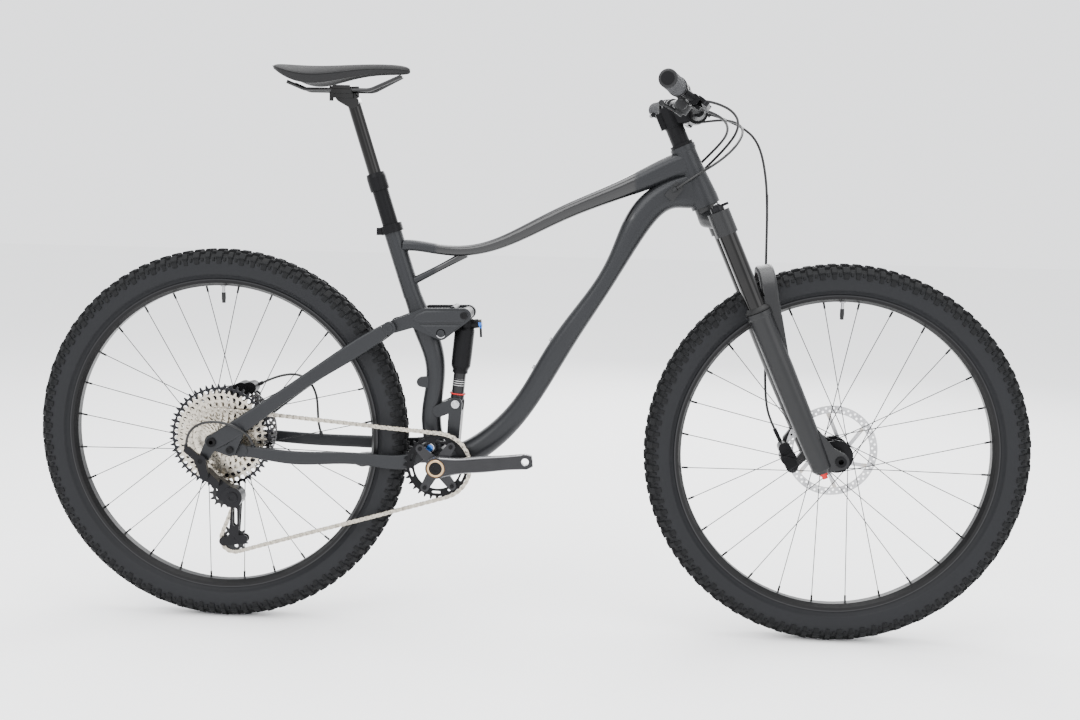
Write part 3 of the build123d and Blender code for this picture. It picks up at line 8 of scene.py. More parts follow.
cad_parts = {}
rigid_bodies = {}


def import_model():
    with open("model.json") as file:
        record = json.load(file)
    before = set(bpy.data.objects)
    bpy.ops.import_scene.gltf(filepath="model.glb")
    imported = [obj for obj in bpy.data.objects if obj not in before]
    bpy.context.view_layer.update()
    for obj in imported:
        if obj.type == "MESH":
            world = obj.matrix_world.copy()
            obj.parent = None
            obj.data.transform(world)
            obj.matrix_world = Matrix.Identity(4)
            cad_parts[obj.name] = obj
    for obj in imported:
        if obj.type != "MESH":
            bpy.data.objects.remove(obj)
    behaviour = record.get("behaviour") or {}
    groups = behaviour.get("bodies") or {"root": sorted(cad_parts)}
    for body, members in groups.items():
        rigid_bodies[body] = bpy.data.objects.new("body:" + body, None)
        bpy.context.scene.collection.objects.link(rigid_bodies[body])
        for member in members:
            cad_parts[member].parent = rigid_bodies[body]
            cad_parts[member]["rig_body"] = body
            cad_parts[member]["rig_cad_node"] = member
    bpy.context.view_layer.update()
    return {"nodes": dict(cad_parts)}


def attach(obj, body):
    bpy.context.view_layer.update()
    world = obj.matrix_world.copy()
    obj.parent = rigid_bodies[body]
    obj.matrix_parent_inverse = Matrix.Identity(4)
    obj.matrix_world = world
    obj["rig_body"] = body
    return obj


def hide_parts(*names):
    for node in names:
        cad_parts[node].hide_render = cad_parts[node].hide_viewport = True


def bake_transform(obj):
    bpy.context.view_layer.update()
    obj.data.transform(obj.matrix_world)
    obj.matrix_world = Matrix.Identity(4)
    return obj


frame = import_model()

# Full-suspension mountain bike in metres.  +X forward, +Y to the rider's left, +Z up.

bl_info = {
    "name": "Mountain bike finish",
    "version": (1, 0, 0),
    "blender": (4, 5, 0),
    "location": "View3D > Sidebar > Bike",
    "description": "Tyres, saddle, grips, cables, fasteners and materials around a mountain bike frame",
    "category": "Object",
}

# ---- Places ---------------------------------------------------------------------------------
WHEELBASE = 1.21
AXLE_HEIGHT = 0.372
HEAD_ANGLE = math.radians(66)
FORK_OFFSET = 0.051
STANCHION_LEAD = 0.013
LEG_SPACING = 0.066
STANCHION_RADIUS = 0.0175
LEG_TOP = 0.326
BAR_BEND_Y, BAR_HALF = 0.125, 0.390
SADDLE_SECTION_POINTS = 24
ROTOR_TRACK = 0.075
MERGE_DISTANCE = 0.000004

steer_up = Vector((-math.cos(HEAD_ANGLE), 0, math.sin(HEAD_ANGLE)))
steer_out = Vector((math.sin(HEAD_ANGLE), 0, math.cos(HEAD_ANGLE)))
ACROSS = Vector((0, 1, 0))


def at(ahead, height, y=0.0):
    """A point measured from the ground below the rear axle."""
    return Vector((ahead - WHEELBASE / 2, y, height))


rear_axle = at(0, AXLE_HEIGHT)
front_axle = at(WHEELBASE, AXLE_HEIGHT)
bottom_bracket = at(0.437, 0.333)
main_pivot = at(0.420, 0.366)
rocker_pivot = at(0.440, 0.592)
rocker_rear = at(0.340, 0.600)
shock_high = at(0.484, 0.628)
shock_low = at(0.467, 0.451)
horst = at(0.035, 0.357)
cage_pivot = at(0.036, 0.261)
shock_up = (shock_high - shock_low).normalized()


def on_steer(up, out=0.0, y=0.0):
    """A point up the steering axis from its foot, and out in front of it."""
    foot = front_axle - steer_out * FORK_OFFSET
    return foot + steer_up * up + steer_out * out + Vector((0, y, 0))


def on_bar(y, up=0.0, out=0.0):
    """A point beside the outer straight of the handlebar."""
    share = (abs(y) - BAR_BEND_Y) / (BAR_HALF - BAR_BEND_Y)
    return on_steer(0.745 + share * 0.023 + up, 0.035 - share * 0.038 + out, y)


# ---- What a user would change -----------------------------------------------------------------
def colour_property(name, description, default):
    return FloatVectorProperty(name=name, description=description, default=default,
                               subtype="COLOR", size=3, min=0.0, max=1.0)


def length_property(name, description, default):
    return FloatProperty(name=name, description=description, default=default,
                         unit="LENGTH", subtype="DISTANCE", min=0.0)


class BikeColours(bpy.types.PropertyGroup):
    paint: colour_property("Frame paint", "Graphite paint of the main frame", (0.0120, 0.0127, 0.0143))
    gloss: colour_property("Top tube panel", "Glossy dark panel along the top tube", (0.003, 0.003, 0.0035))
    fork: colour_property("Fork paint", "Satin paint of crown and lower legs", (0.0060, 0.0062, 0.0069))
    tread: colour_property("Tread", "Rubber of the tread blocks", (0.0050, 0.0052, 0.0057))
    sidewall: colour_property("Sidewall", "Smooth rubber of the sidewall", (0.0060, 0.0064, 0.0076))
    gold: colour_property("Chain", "Warm plating of chain and sprockets", (0.36, 0.33, 0.28))
    red: colour_property("Red parts", "Rebound knob and travel ring", (0.38, 0.013, 0.013))
    blue: colour_property("Blue parts", "Shock lever and main pivot cap", (0.022, 0.11, 0.40))
    grip: colour_property("Grips", "Rubber of the grips", (0.032, 0.0325, 0.035))


class BikeSizes(bpy.types.PropertyGroup):
    knob_rows: IntProperty(name="Knob rows", description="Rows of tread blocks round one tyre",
                           default=196, min=60, max=240)
    saddle_channel: length_property("Saddle channel", "Depth of the saddle's middle channel", 0.004)
    grip_ridges: IntProperty(name="Grip ridges", description="Ridges along one grip",
                             default=30, min=8, max=60)


# ---- Shader maths ---------------------------------------------------------------------------
class Value:
    """A socket that can be used in an expression."""

    def __init__(self, shader, socket):
        self.shader = shader
        self.socket = socket

    def maths(self, operation, *others):
        return self.shader.node("ShaderNodeMath", {"operation": operation},
                                dict(enumerate((self, *others))))

    def __add__(self, other):
        return self.maths("ADD", other)

    def __mul__(self, other):
        return self.maths("MULTIPLY", other)

    def __sub__(self, other):
        return self.maths("SUBTRACT", other)

    def __rsub__(self, other):
        return self.shader.node("ShaderNodeMath", {"operation": "SUBTRACT"}, {0: other, 1: self})

    def __truediv__(self, other):
        return self.maths("DIVIDE", other)

    def __gt__(self, other):
        return self.maths("GREATER_THAN", other)

    def __lt__(self, other):
        return self.maths("LESS_THAN", other)

    def __abs__(self):
        return self.maths("ABSOLUTE")

    __radd__ = __add__
    __rmul__ = __mul__

    def root(self):
        return self.maths("SQRT")

    def wrapped(self, length):
        return self.maths("FLOORED_MODULO", length)

    def rising(self, low, high):
        """Zero below low, one above high and smooth between."""
        return self.shader.node("ShaderNodeMapRange", {"interpolation_type": "SMOOTHSTEP"},
                                {0: self, 1: low, 2: high})


class Shader:
    """One material, with a Principled surface that takes values, colours and links."""

    def __init__(self, name, **constants):
        self.material = bpy.data.materials.new(name)
        self.material.use_nodes = True
        self.tree = self.material.node_tree
        self.tree.nodes.clear()
        self.surface = self.tree.nodes.new("ShaderNodeBsdfPrincipled")
        output = self.tree.nodes.new("ShaderNodeOutputMaterial")
        self.tree.links.new(self.surface.outputs["BSDF"], output.inputs["Surface"])
        self.set(**constants)

    def put(self, node, key, value):
        socket = node.inputs[key]
        if isinstance(value, Value):
            self.tree.links.new(value.socket, socket)
        elif hasattr(value, "__len__") and len(value) == 3 and len(socket.default_value) == 4:
            socket.default_value = (*value, 1)
        else:
            socket.default_value = value

    def node(self, kind, settings=None, inputs=None, out=0):
        node = self.tree.nodes.new(kind)
        for key, value in (settings or {}).items():
            if key == "stops":
                for index, (place, shade) in enumerate(value):
                    stops = node.color_ramp.elements
                    stop = stops[index] if index < len(stops) else stops.new(place)
                    stop.position = place
                    stop.color = (*shade, 1)
            else:
                setattr(node, key, value)
        for key, value in (inputs or {}).items():
            self.put(node, key, value)
        return Value(self, node.outputs[out])

    def set(self, **values):
        for key, value in values.items():
            self.put(self.surface, key.replace("_", " "), value)

    def place(self, scale=(1, 1, 1), turn=(0, 0, 0)):
        spot = self.node("ShaderNodeTexCoord", out="Object")
        return self.node("ShaderNodeMapping", inputs={"Vector": spot, "Scale": scale, "Rotation": turn})

    def parts(self, vector):
        node = self.node("ShaderNodeSeparateXYZ", inputs={0: vector}).socket.node
        return [Value(self, node.outputs[index]) for index in range(3)]

    def xyz(self):
        """The three parts of the place on the piece."""
        return self.parts(self.node("ShaderNodeTexCoord", out="Object"))

    def facing(self):
        """The three parts of the surface's direction in the piece's own axes."""
        return self.parts(self.node("ShaderNodeTexCoord", out="Normal"))

    def noise(self, scale, detail=3.0, rough=0.55, stretch=(1, 1, 1), turn=(0, 0, 0)):
        return self.node("ShaderNodeTexNoise", {"noise_dimensions": "3D"},
                         {"Vector": self.place(stretch, turn), "Scale": scale,
                          "Detail": detail, "Roughness": rough})

    def grooves(self, distance, count):
        """Noise along one distance only, as turning and grinding leave it."""
        return self.node("ShaderNodeTexNoise", {"noise_dimensions": "1D"},
                         {"W": distance * count, "Scale": 1.0})

    def cells(self, scale, feature="F1"):
        return self.node("ShaderNodeTexVoronoi", {"feature": feature},
                         {"Vector": self.place(), "Scale": scale}, out="Distance")

    def mix(self, share, first, second):
        """Blend two colours; a mix node keeps its colour sockets at 6 and 7, and its result at 2."""
        return self.node("ShaderNodeMix", {"data_type": "RGBA"}, {0: share, 6: first, 7: second}, out=2)

    def bump(self, height, depth, strength=1.0):
        normal = self.node("ShaderNodeBump", None,
                           {"Strength": strength, "Distance": depth, "Height": height}, out="Normal")
        self.set(Normal=normal)


def shaded(colour, factor):
    return tuple(min(1.0, part * factor) for part in colour)


def coating(name, colour, roughness, metallic=0.0, *, spread=0.08, mottle=0.16, patch=14.0,
            grain=700.0, depth=0.00004, coat=0.0, shine=0.26, extra=None):
    """A finish with broad shade changes, uneven gloss, handling marks and a fine skin."""
    shader = Shader(name, Metallic=metallic, Coat_Weight=coat, Coat_Roughness=0.12,
                    Specular_IOR_Level=shine)
    broad = shader.noise(patch, 4.0, 0.6)
    fine = shader.noise(grain, 2.0)
    smear = shader.noise(patch * 3.1, 5.0, 0.7, stretch=(1, 2.3, 0.6)).rising(0.52, 0.78)
    body = shader.mix(broad, shaded(colour, 1 - mottle), shaded(colour, 1 + mottle))
    body = shader.mix(fine * 0.35, body, shaded(colour, 1.4))
    gloss = roughness + (broad - 0.5) * spread + smear * spread * 0.8 + (fine - 0.5) * 0.06
    height = fine
    if extra:
        body, gloss, height = extra(shader, body, gloss, height)
    shader.set(Base_Color=body, Roughness=gloss)
    shader.bump(height, depth)
    return shader.material


# ---- Materials ------------------------------------------------------------------------------
def frame_paint(colours):
    """Satin graphite with metal flake, and a glossy panel along the top tube."""
    shader = Shader("frame_paint", Coat_Roughness=0.18, Specular_IOR_Level=0.26)
    x, _, z = shader.xyz()
    broad = shader.noise(9.0, 4.0)
    flake = shader.cells(2600.0)
    peel = shader.noise(210.0, 2.0)
    dust = shader.noise(46.0, 6.0, 0.72).rising(0.55, 0.80)
    paint = shader.mix(broad, shaded(colours.paint, 0.88), shaded(colours.paint, 1.12))
    paint = shader.mix(flake.rising(0.42, 0.05) * 0.22, paint, shaded(colours.paint, 3.4))
    line = z - 0.758 - (x + 0.246) * 0.3087
    wave = shader.noise(7.0, 1.0) * 0.02
    lengthwise = (x + wave).rising(-0.176, -0.166) * (1 - (x + wave).rising(0.206, 0.216))
    panel = lengthwise * (line + wave).rising(-0.065, -0.060)
    body = shader.mix(panel, paint, colours.gloss)
    gloss = 0.40 + (broad - 0.5) * 0.08 + dust * 0.08 - panel * 0.26
    shader.set(Base_Color=body, Roughness=gloss, Metallic=0.42 - panel * 0.32,
               Coat_Weight=0.10 + panel * 0.40)
    shader.bump(peel + flake * 0.15, 0.00008, 0.35)
    return shader.material


def stanchion_coat():
    """A mirror-like dark hard coat with fine lines round the tube."""
    shader = Shader("stanchion_coat", Metallic=0.85, Coat_Weight=0.22, Coat_Roughness=0.04)
    along = shader.noise(30.0, 4.0)
    hone = shader.noise(1500.0, 1.0, stretch=(0.05, 0.05, 1))
    film = shader.noise(55.0, 6.0, 0.7).rising(0.5, 0.8)
    shader.set(Base_Color=shader.mix(along, (0.0045, 0.0045, 0.005), (0.010, 0.0095, 0.009)),
               Roughness=0.10 + film * 0.09 + hone * 0.05)
    shader.bump(hone, 0.00001, 0.3)
    return shader.material


def tread_rubber(colours):
    """Block rubber: scuffed dull tops, mould texture and pale dust in patches."""
    def extra(shader, body, gloss, height):
        pits = shader.cells(900.0)
        dust = shader.noise(70.0, 6.0, 0.75).rising(0.52, 0.80)
        body = shader.mix(dust * 0.22, body, (0.045, 0.042, 0.038))
        return body, gloss + dust * 0.05, height + pits * 0.6
    return coating("tread_rubber", colours.tread, 0.80, mottle=0.22, patch=30.0, grain=1300.0,
                   depth=0.00010, spread=0.10, shine=0.18, extra=extra)


def wheel_radius_of(shader):
    """Distance from the nearer axle, so that one material serves both wheels."""
    x, _, z = shader.xyz()
    from_axle = abs(x) - WHEELBASE / 2
    rise = z - AXLE_HEIGHT
    return (from_axle * from_axle + rise * rise).root()


def sidewall_rubber(colours):
    """Smooth casing with cord lines under the skin and moulded rings near the bead."""
    shader = Shader("sidewall_rubber", Specular_IOR_Level=0.20)
    radius = wheel_radius_of(shader)
    broad = shader.noise(16.0, 5.0)
    skin = shader.noise(900.0, 2.0)
    cords = shader.noise(420.0, 1.0, stretch=(1, 0.15, 1), turn=(0.0, 0.7, 0.0))
    rings = (radius.wrapped(0.0032) - 0.0016) * 400
    near_bead = 1 - radius.rising(0.322, 0.326)
    tread = radius.rising(0.352, 0.360)
    body = shader.mix(broad, shaded(colours.sidewall, 0.8), shaded(colours.sidewall, 1.3))
    body = shader.mix(tread, body, colours.tread)
    shader.set(Base_Color=body, Roughness=0.58 + (broad - 0.5) * 0.16 + tread * 0.2)
    shader.bump(skin * 0.4 + cords * 0.5 + abs(rings) * near_bead, 0.00012, 0.7)
    return shader.material


def rim_coat():
    """Black anodising, with a thin bright turned edge at the inner bead of the rim."""
    shader = Shader("rim_coat", Coat_Weight=0.06, Coat_Roughness=0.2, Specular_IOR_Level=0.25)
    radius = wheel_radius_of(shader)
    broad = shader.noise(12.0, 4.0)
    lathe = shader.grooves(radius, 5200)
    edge = radius.rising(0.3098, 0.3106) * (1 - radius.rising(0.3118, 0.3126))
    body = shader.mix(broad, (0.005, 0.005, 0.0053), (0.009, 0.009, 0.0095))
    body = shader.mix(edge * 0.12, body, (0.20, 0.20, 0.21))
    shader.set(Base_Color=body, Metallic=0.55 + edge * 0.4,
               Roughness=0.36 + lathe * 0.10 + (broad - 0.5) * 0.08 - edge * 0.10)
    shader.bump(lathe, 0.00001, 0.4)
    return shader.material


def rotor_steel():
    """Ground stainless: fine circles on the track, and heat tint towards the arms."""
    shader = Shader("rotor_steel", Metallic=1.0)
    radius = wheel_radius_of(shader)
    ground = shader.grooves(radius, 9000)
    broad = shader.noise(40.0, 4.0)
    track = radius.rising(ROTOR_TRACK - 0.0005, ROTOR_TRACK + 0.0005)
    tint = radius.rising(0.060, ROTOR_TRACK - 0.0005) * (1 - track)
    body = shader.mix(broad, (0.38, 0.38, 0.39), (0.50, 0.50, 0.51))
    body = shader.mix(tint * 0.5, body, (0.42, 0.36, 0.28))
    shader.set(Base_Color=body, Roughness=0.22 + ground * 0.22 + (1 - track) * 0.08)
    shader.bump(ground, 0.00001, 0.6)
    return shader.material


def plated_steel(name, colour, dark_from=None):
    """Warm plating with a thin film of oil, grime in patches and worn bright spots."""
    def extra(shader, body, gloss, height):
        grime = shader.noise(95.0, 6.0, 0.75).rising(0.50, 0.76)
        worn = shader.noise(300.0, 3.0).rising(0.60, 0.75)
        body = shader.mix(worn * 0.5, body, shaded(colour, 1.35))
        body = shader.mix(grime * 0.65, body, (0.045, 0.040, 0.034))
        if dark_from is not None:
            across = shader.xyz()[1]
            body = shader.mix(across > dark_from, body, (0.020, 0.020, 0.022))
        return body, gloss + grime * 0.16, height
    return coating(name, colour, 0.27, 1.0, patch=60.0, grain=1400.0, depth=0.00002, extra=extra)


def crank_alloy():
    """Dark polished alloy, with a painted silver highlight where the forging turns away to its sides."""
    shader = Shader("crank_alloy", Coat_Weight=0.12, Coat_Roughness=0.15)
    side = 1 - abs(shader.facing()[1]).rising(0.55, 0.93)
    brush = shader.noise(900.0, 2.0, stretch=(0.06, 1, 1), turn=(0, math.radians(6.7), 0))
    broad = shader.noise(26.0, 4.0)
    scuff = shader.noise(120.0, 5.0, 0.75).rising(0.58, 0.75)
    body = shader.mix(broad, (0.014, 0.014, 0.015), (0.026, 0.026, 0.028))
    # painted highlight: faces that turn away from the arm's flat sides are painted silver
    body = shader.mix(side * 0.80, body, (0.34, 0.34, 0.35))
    shader.set(Base_Color=body, Metallic=0.9,
               Roughness=0.18 + brush * 0.10 + scuff * 0.10)
    shader.bump(brush, 0.00001, 0.5)
    return shader.material


def saddle_cover():
    """Fine grained synthetic leather: small cells, soft creases with painted shade in them, and a dull
    sheen.
    """
    shader = Shader("saddle_cover", Specular_IOR_Level=0.24)
    cells = shader.cells(950.0, "F1")
    crease_and_shade = shader.cells(330.0, "DISTANCE_TO_EDGE").rising(0.0, 0.10)
    broad = shader.noise(20.0, 4.0)
    body = shader.mix(broad, (0.0045, 0.0045, 0.0048), (0.0080, 0.0080, 0.0086))
    # painted shade: the creases are painted darker
    body = shader.mix((1 - crease_and_shade) * 0.3, body, (0.004, 0.004, 0.004))
    shader.set(Base_Color=body, Roughness=0.46 + (broad - 0.5) * 0.12 + cells * 0.16)
    shader.bump(cells * 0.6 + crease_and_shade * 0.5, 0.00022, 0.8)
    return shader.material


def grip_rubber(colours):
    """Soft rubber with a matt bloom and fine moulded grain."""
    def extra(shader, body, gloss, height):
        handled = shader.noise(38.0, 4.0).rising(0.45, 0.75)
        weave = shader.cells(1500.0)
        return body, gloss - handled * 0.10, height + weave * 0.7
    return coating("grip_rubber", colours.grip, 0.70, mottle=0.15, patch=24.0, grain=1700.0,
                   depth=0.00008, extra=extra)


def shock_shaft_coat():
    """Black damper body with small pale travel marks on the drive side."""
    def extra(shader, body, gloss, height):
        x, _, z = shader.xyz()
        along = (x - shock_low.x) * shock_up.x + (z - shock_low.z) * shock_up.z
        tick = (along.wrapped(0.0044) < 0.0009) * (along > 0.0335) * (along < 0.0485)
        mark = tick * (shader.facing()[1] < -0.40)
        return shader.mix(mark * 0.9, body, (0.62, 0.62, 0.62)), gloss, height
    return coating("shock_shaft_coat", (0.008, 0.008, 0.0088), 0.30, 0.5, coat=0.2, extra=extra)


def lockout_finish(colours):
    """A black lever whose flag is blue."""
    def extra(shader, body, gloss, height):
        height_up = shader.xyz()[2]
        flag = height_up.rising(0.5995, 0.6000) * (1 - height_up.rising(0.6115, 0.6120))
        return shader.mix(flag, body, colours.blue), gloss, height
    return coating("lockout_finish", (0.006, 0.006, 0.0066), 0.30, 0.6, coat=0.2, extra=extra)


def bright_alloy(name, colour, roughness=0.26):
    return coating(name, colour, roughness, 1.0, mottle=0.08, patch=70.0, grain=1500.0, depth=0.00001)


def make_materials(colours):
    """Every finish of the bike by name."""
    black = (0.006, 0.006, 0.0066)
    return {
        "frame_paint": frame_paint(colours),
        "fork_paint": coating("fork_paint", colours.fork, 0.42, 0.1, coat=0.10, patch=10.0, grain=260.0,
                              depth=0.00006),
        "stanchion_coat": stanchion_coat(),
        "anodised": coating("anodised", black, 0.42, 0.75, grain=1200.0, depth=0.00002),
        "anodised_satin": coating("anodised_satin", (0.011, 0.011, 0.012), 0.32, 0.8, patch=40.0),
        "rim_coat": rim_coat(),
        "tread_rubber": tread_rubber(colours),
        "sidewall_rubber": sidewall_rubber(colours),
        "spoke_steel": coating("spoke_steel", (0.009, 0.009, 0.0096), 0.32, 0.8, patch=120.0),
        "rotor_steel": rotor_steel(),
        "chain_plating": plated_steel("chain_plating", colours.gold),
        "sprocket_plating": plated_steel("sprocket_plating", shaded(colours.gold, 1.25), dark_from=-0.0272),
        "crank_alloy": crank_alloy(),
        "grip_rubber": grip_rubber(colours),
        "saddle_cover": saddle_cover(),
        "hose_skin": coating("hose_skin", (0.004, 0.004, 0.0043), 0.30, coat=0.2, patch=60.0, grain=900.0),
        "moulded": coating("moulded", (0.0070, 0.0071, 0.0078), 0.50, patch=40.0, grain=900.0,
                           depth=0.00008),
        "port_plate": coating("port_plate", (0.0080, 0.0083, 0.0090), 0.46, patch=50.0, grain=700.0,
                              depth=0.00008),
        "shock_shaft_coat": shock_shaft_coat(),
        "lockout_finish": lockout_finish(colours),
        "red_alloy": coating("red_alloy", colours.red, 0.30, 0.9, patch=80.0, coat=0.3),
        "red_rubber": coating("red_rubber", colours.red, 0.50, patch=80.0),
        "blue_alloy": coating("blue_alloy", colours.blue, 0.28, 0.9, patch=80.0, coat=0.3),
        "bronze": bright_alloy("bronze", (0.38, 0.27, 0.16)),
        "bolt_steel": bright_alloy("bolt_steel", (0.38, 0.38, 0.39)),
        "bolt_black": bright_alloy("bolt_black", (0.012, 0.012, 0.0125), 0.34),
        "seal_rubber": coating("seal_rubber", (0.004, 0.004, 0.0043), 0.60, patch=60.0),
    }


finishes = {}

CAD_FINISHES = {
    "frame_paint": ["head_tube", "top_tube", "down_tube", "seat_tube", "bottom_bracket_shell",
                    "shock_bracket", "chainstay", "seatstays", "rocker_link"],
    "fork_paint": ["fork_crown", "fork_lowers"],
    "stanchion_coat": ["stanchions", "seatpost_inner"],
    "anodised": ["seat_clamp", "seatpost_outer", "stem", "handlebar", "brake_masters", "front_axle",
                 "rear_axle", "front_hub", "rear_hub", "front_caliper", "rear_caliper", "chainring",
                 "shock_can"],
    "anodised_satin": ["brake_lever_right", "brake_lever_left", "dropper_lever", "derailleur_cage",
                       "compression_dial", "derailleur_body"],
    "rim_coat": ["front_rim", "rear_rim"],
    "spoke_steel": ["front_spokes", "rear_spokes"],
    "rotor_steel": ["front_rotor", "rear_rotor"],
    "sprocket_plating": ["cassette_sprockets"],
    "crank_alloy": ["crank_arm_right", "crank_arm_left"],
    "moulded": ["bar_remotes", "guide_pulley", "tension_pulley", "shift_lever"],
    "port_plate": ["cable_port_covers"],
    "shock_shaft_coat": ["shock_shaft"],
    "red_alloy": ["rebound_dial"],
    "lockout_finish": ["shock_lever"],
    "bolt_steel": ["frame_bolts"],
    "hose_skin": ["saddle_rails"],
}


# ---- Modelling by hand ------------------------------------------------------------------------
def only(piece):
    """Leave one object selected and active."""
    bpy.ops.object.select_all(action="DESELECT")
    piece.select_set(True)
    bpy.context.view_layer.objects.active = piece


def edit(piece, *steps):
    """Run edit-mode steps on the whole of a piece."""
    only(piece)
    bpy.ops.object.mode_set(mode="EDIT")
    bpy.ops.mesh.select_all(action="SELECT")
    for step in steps:
        step()
    bpy.ops.object.mode_set(mode="OBJECT")


def seal():
    bpy.ops.mesh.remove_doubles(threshold=MERGE_DISTANCE)
    bpy.ops.mesh.delete_loose()
    bpy.ops.mesh.select_all(action="SELECT")
    bpy.ops.mesh.normals_make_consistent(inside=False)


def frame_of(centre, axis, side=None):
    """A matrix at centre whose Z runs along axis, and whose X leans to side if it is given."""
    z = axis.normalized()
    hint = side if side is not None else (Vector((1, 0, 0)) if abs(z.x) < 0.9 else Vector((0, 0, 1)))
    y = z.cross(hint).normalized()
    x = y.cross(z)
    matrix = Matrix((x, y, z)).transposed().to_4x4()
    matrix.translation = centre
    return matrix


def with_modifier(piece, kind, **settings):
    """Add a modifier and apply it."""
    only(piece)
    modifier = piece.modifiers.new(kind.title(), kind)
    for key, value in settings.items():
        setattr(modifier, key, value)
    bpy.ops.object.modifier_apply(modifier=modifier.name)
    return piece


def turned(outline, centre, axis, steps=40, side=None):
    """Spin a closed outline of (radius, distance) points about an axis."""
    bpy.ops.object.select_all(action="DESELECT")
    bpy.ops.mesh.primitive_circle_add(vertices=len(outline), fill_type="NOTHING")
    piece = bpy.context.object
    for vertex, (radius, distance) in zip(piece.data.vertices, outline):
        vertex.co = (radius, 0, distance)
    edit(piece, lambda: bpy.ops.mesh.spin(steps=steps, angle=math.tau, center=(0, 0, 0), axis=(0, 0, 1)),
         lambda: bpy.ops.mesh.select_all(action="SELECT"), seal)
    piece.data.transform(frame_of(centre, axis, side))
    return piece


def block(centre, size, axis=Vector((0, 0, 1)), side=None, taper=0.86, bevel=0.18):
    """A cube with a drawn-in top and rounded edges; size is (along side, across, along axis)."""
    bpy.ops.object.select_all(action="DESELECT")
    bpy.ops.mesh.primitive_cube_add(size=1)
    piece = bpy.context.object
    for vertex in piece.data.vertices:
        if vertex.co.z > 0:
            vertex.co.x *= taper
            vertex.co.y *= taper
    piece.data.transform(Matrix.Diagonal((*size, 1)))
    if bevel:
        with_modifier(piece, "BEVEL", width=min(size) * bevel, segments=2, limit_method="ANGLE")
    piece.data.transform(frame_of(centre, axis, side))
    return piece


def wedge(foot, head, facing, foot_size, head_size):
    """A rounded bar that widens from foot to head; sizes are (across, fore and aft)."""
    bpy.ops.object.select_all(action="DESELECT")
    bpy.ops.mesh.primitive_cube_add(size=1)
    piece = bpy.context.object
    fore = facing.cross(ACROSS).normalized()
    for vertex in piece.data.vertices:
        spot, size = (head, head_size) if vertex.co.z > 0 else (foot, foot_size)
        vertex.co = spot + ACROSS * (vertex.co.y * size[0]) + fore * (vertex.co.x * size[1])
    edit(piece, lambda: bpy.ops.mesh.subdivide(number_cuts=3, smoothness=0.0),
         lambda: bpy.ops.mesh.normals_make_consistent(inside=False))
    return with_modifier(piece, "BEVEL", width=0.0022, segments=3, limit_method="ANGLE")


def panel(outline, y, depth, inset, swell):
    """A raised plate on a side face, with a drawn-in crown; outline holds (ahead, height)."""
    bpy.ops.object.select_all(action="DESELECT")
    bpy.ops.mesh.primitive_circle_add(vertices=len(outline), fill_type="NGON")
    piece = bpy.context.object
    for vertex, (ahead, height) in zip(piece.data.vertices, outline):
        vertex.co = at(ahead, height, y)
    edit(piece,
         lambda: bpy.ops.mesh.extrude_region_move(TRANSFORM_OT_translate={"value": (0, depth, 0)}),
         lambda: bpy.ops.mesh.inset(thickness=inset, depth=0),
         lambda: bpy.ops.transform.translate(value=(0, swell, 0)),
         lambda: bpy.ops.mesh.select_all(action="SELECT"),
         lambda: bpy.ops.mesh.normals_make_consistent(inside=False))
    return piece


def joined(pieces):
    bpy.ops.object.select_all(action="DESELECT")
    for piece in pieces:
        piece.select_set(True)
    bpy.context.view_layer.objects.active = pieces[0]
    if len(pieces) > 1:
        bpy.ops.object.join()
    return pieces[0]


def copied(piece, matrix):
    twin = piece.copy()
    twin.data = piece.data.copy()
    twin.data.transform(matrix)
    bpy.context.scene.collection.objects.link(twin)
    return twin


def repeated(master, matrices):
    """Copies of a master at each place, joined into one piece; the master goes."""
    copies = [copied(master, matrix) for matrix in matrices]
    bpy.data.objects.remove(master)
    return joined(copies)


def done(piece, name, body, finish, smooth=38):
    """Name a piece, give it a finish and let it ride on its body."""
    piece.name = name
    piece.data.name = name
    piece.data.materials.clear()
    piece.data.materials.append(finishes[finish])
    only(piece)
    bpy.ops.object.transform_apply(location=True, rotation=True, scale=True)
    bpy.ops.object.shade_smooth_by_angle(angle=math.radians(smooth))
    if body:
        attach(piece, body)
    return piece


def socket_bolt(centre, axis, radius, height):
    """A round-headed bolt with a six-sided recess."""
    rim, floor = radius * 0.52, height * 0.45
    outline = [(0, 0), (radius, 0), (radius, height * 0.72), (radius * 0.80, height),
               (rim, height), (rim * 0.98, floor), (0, floor)]
    head = turned(outline, Vector((0, 0, 0)), Vector((0, 0, 1)), steps=30)
    for vertex in head.data.vertices:
        reach = vertex.co.xy.length
        if 0 < reach <= rim * 1.001:
            angle = math.atan2(vertex.co.y, vertex.co.x) % (math.pi / 3) - math.pi / 6
            vertex.co.xy *= math.cos(math.pi / 6) / math.cos(angle)
    head.data.transform(frame_of(centre, axis))
    return head


def ring_round(centre, axis, inner, outer, width, rounding=0.35):
    """A ring with rounded outer corners, from centre along axis."""
    cut = (outer - inner) * rounding
    outline = [(inner, 0), (outer - cut, 0), (outer, cut), (outer, width - cut),
               (outer - cut, width), (inner, width)]
    return turned(outline, centre, axis, steps=48)


def hoop(centre, axis, inner, half_width, steps):
    """A rubber ring of oval section round a tube."""
    thick = 0.0011
    turns = [math.tau * step / 10 for step in range(10)]
    outline = [(inner + thick * (1 + math.cos(turn)), half_width * math.sin(turn)) for turn in turns]
    return turned(outline, centre, axis, steps=steps)


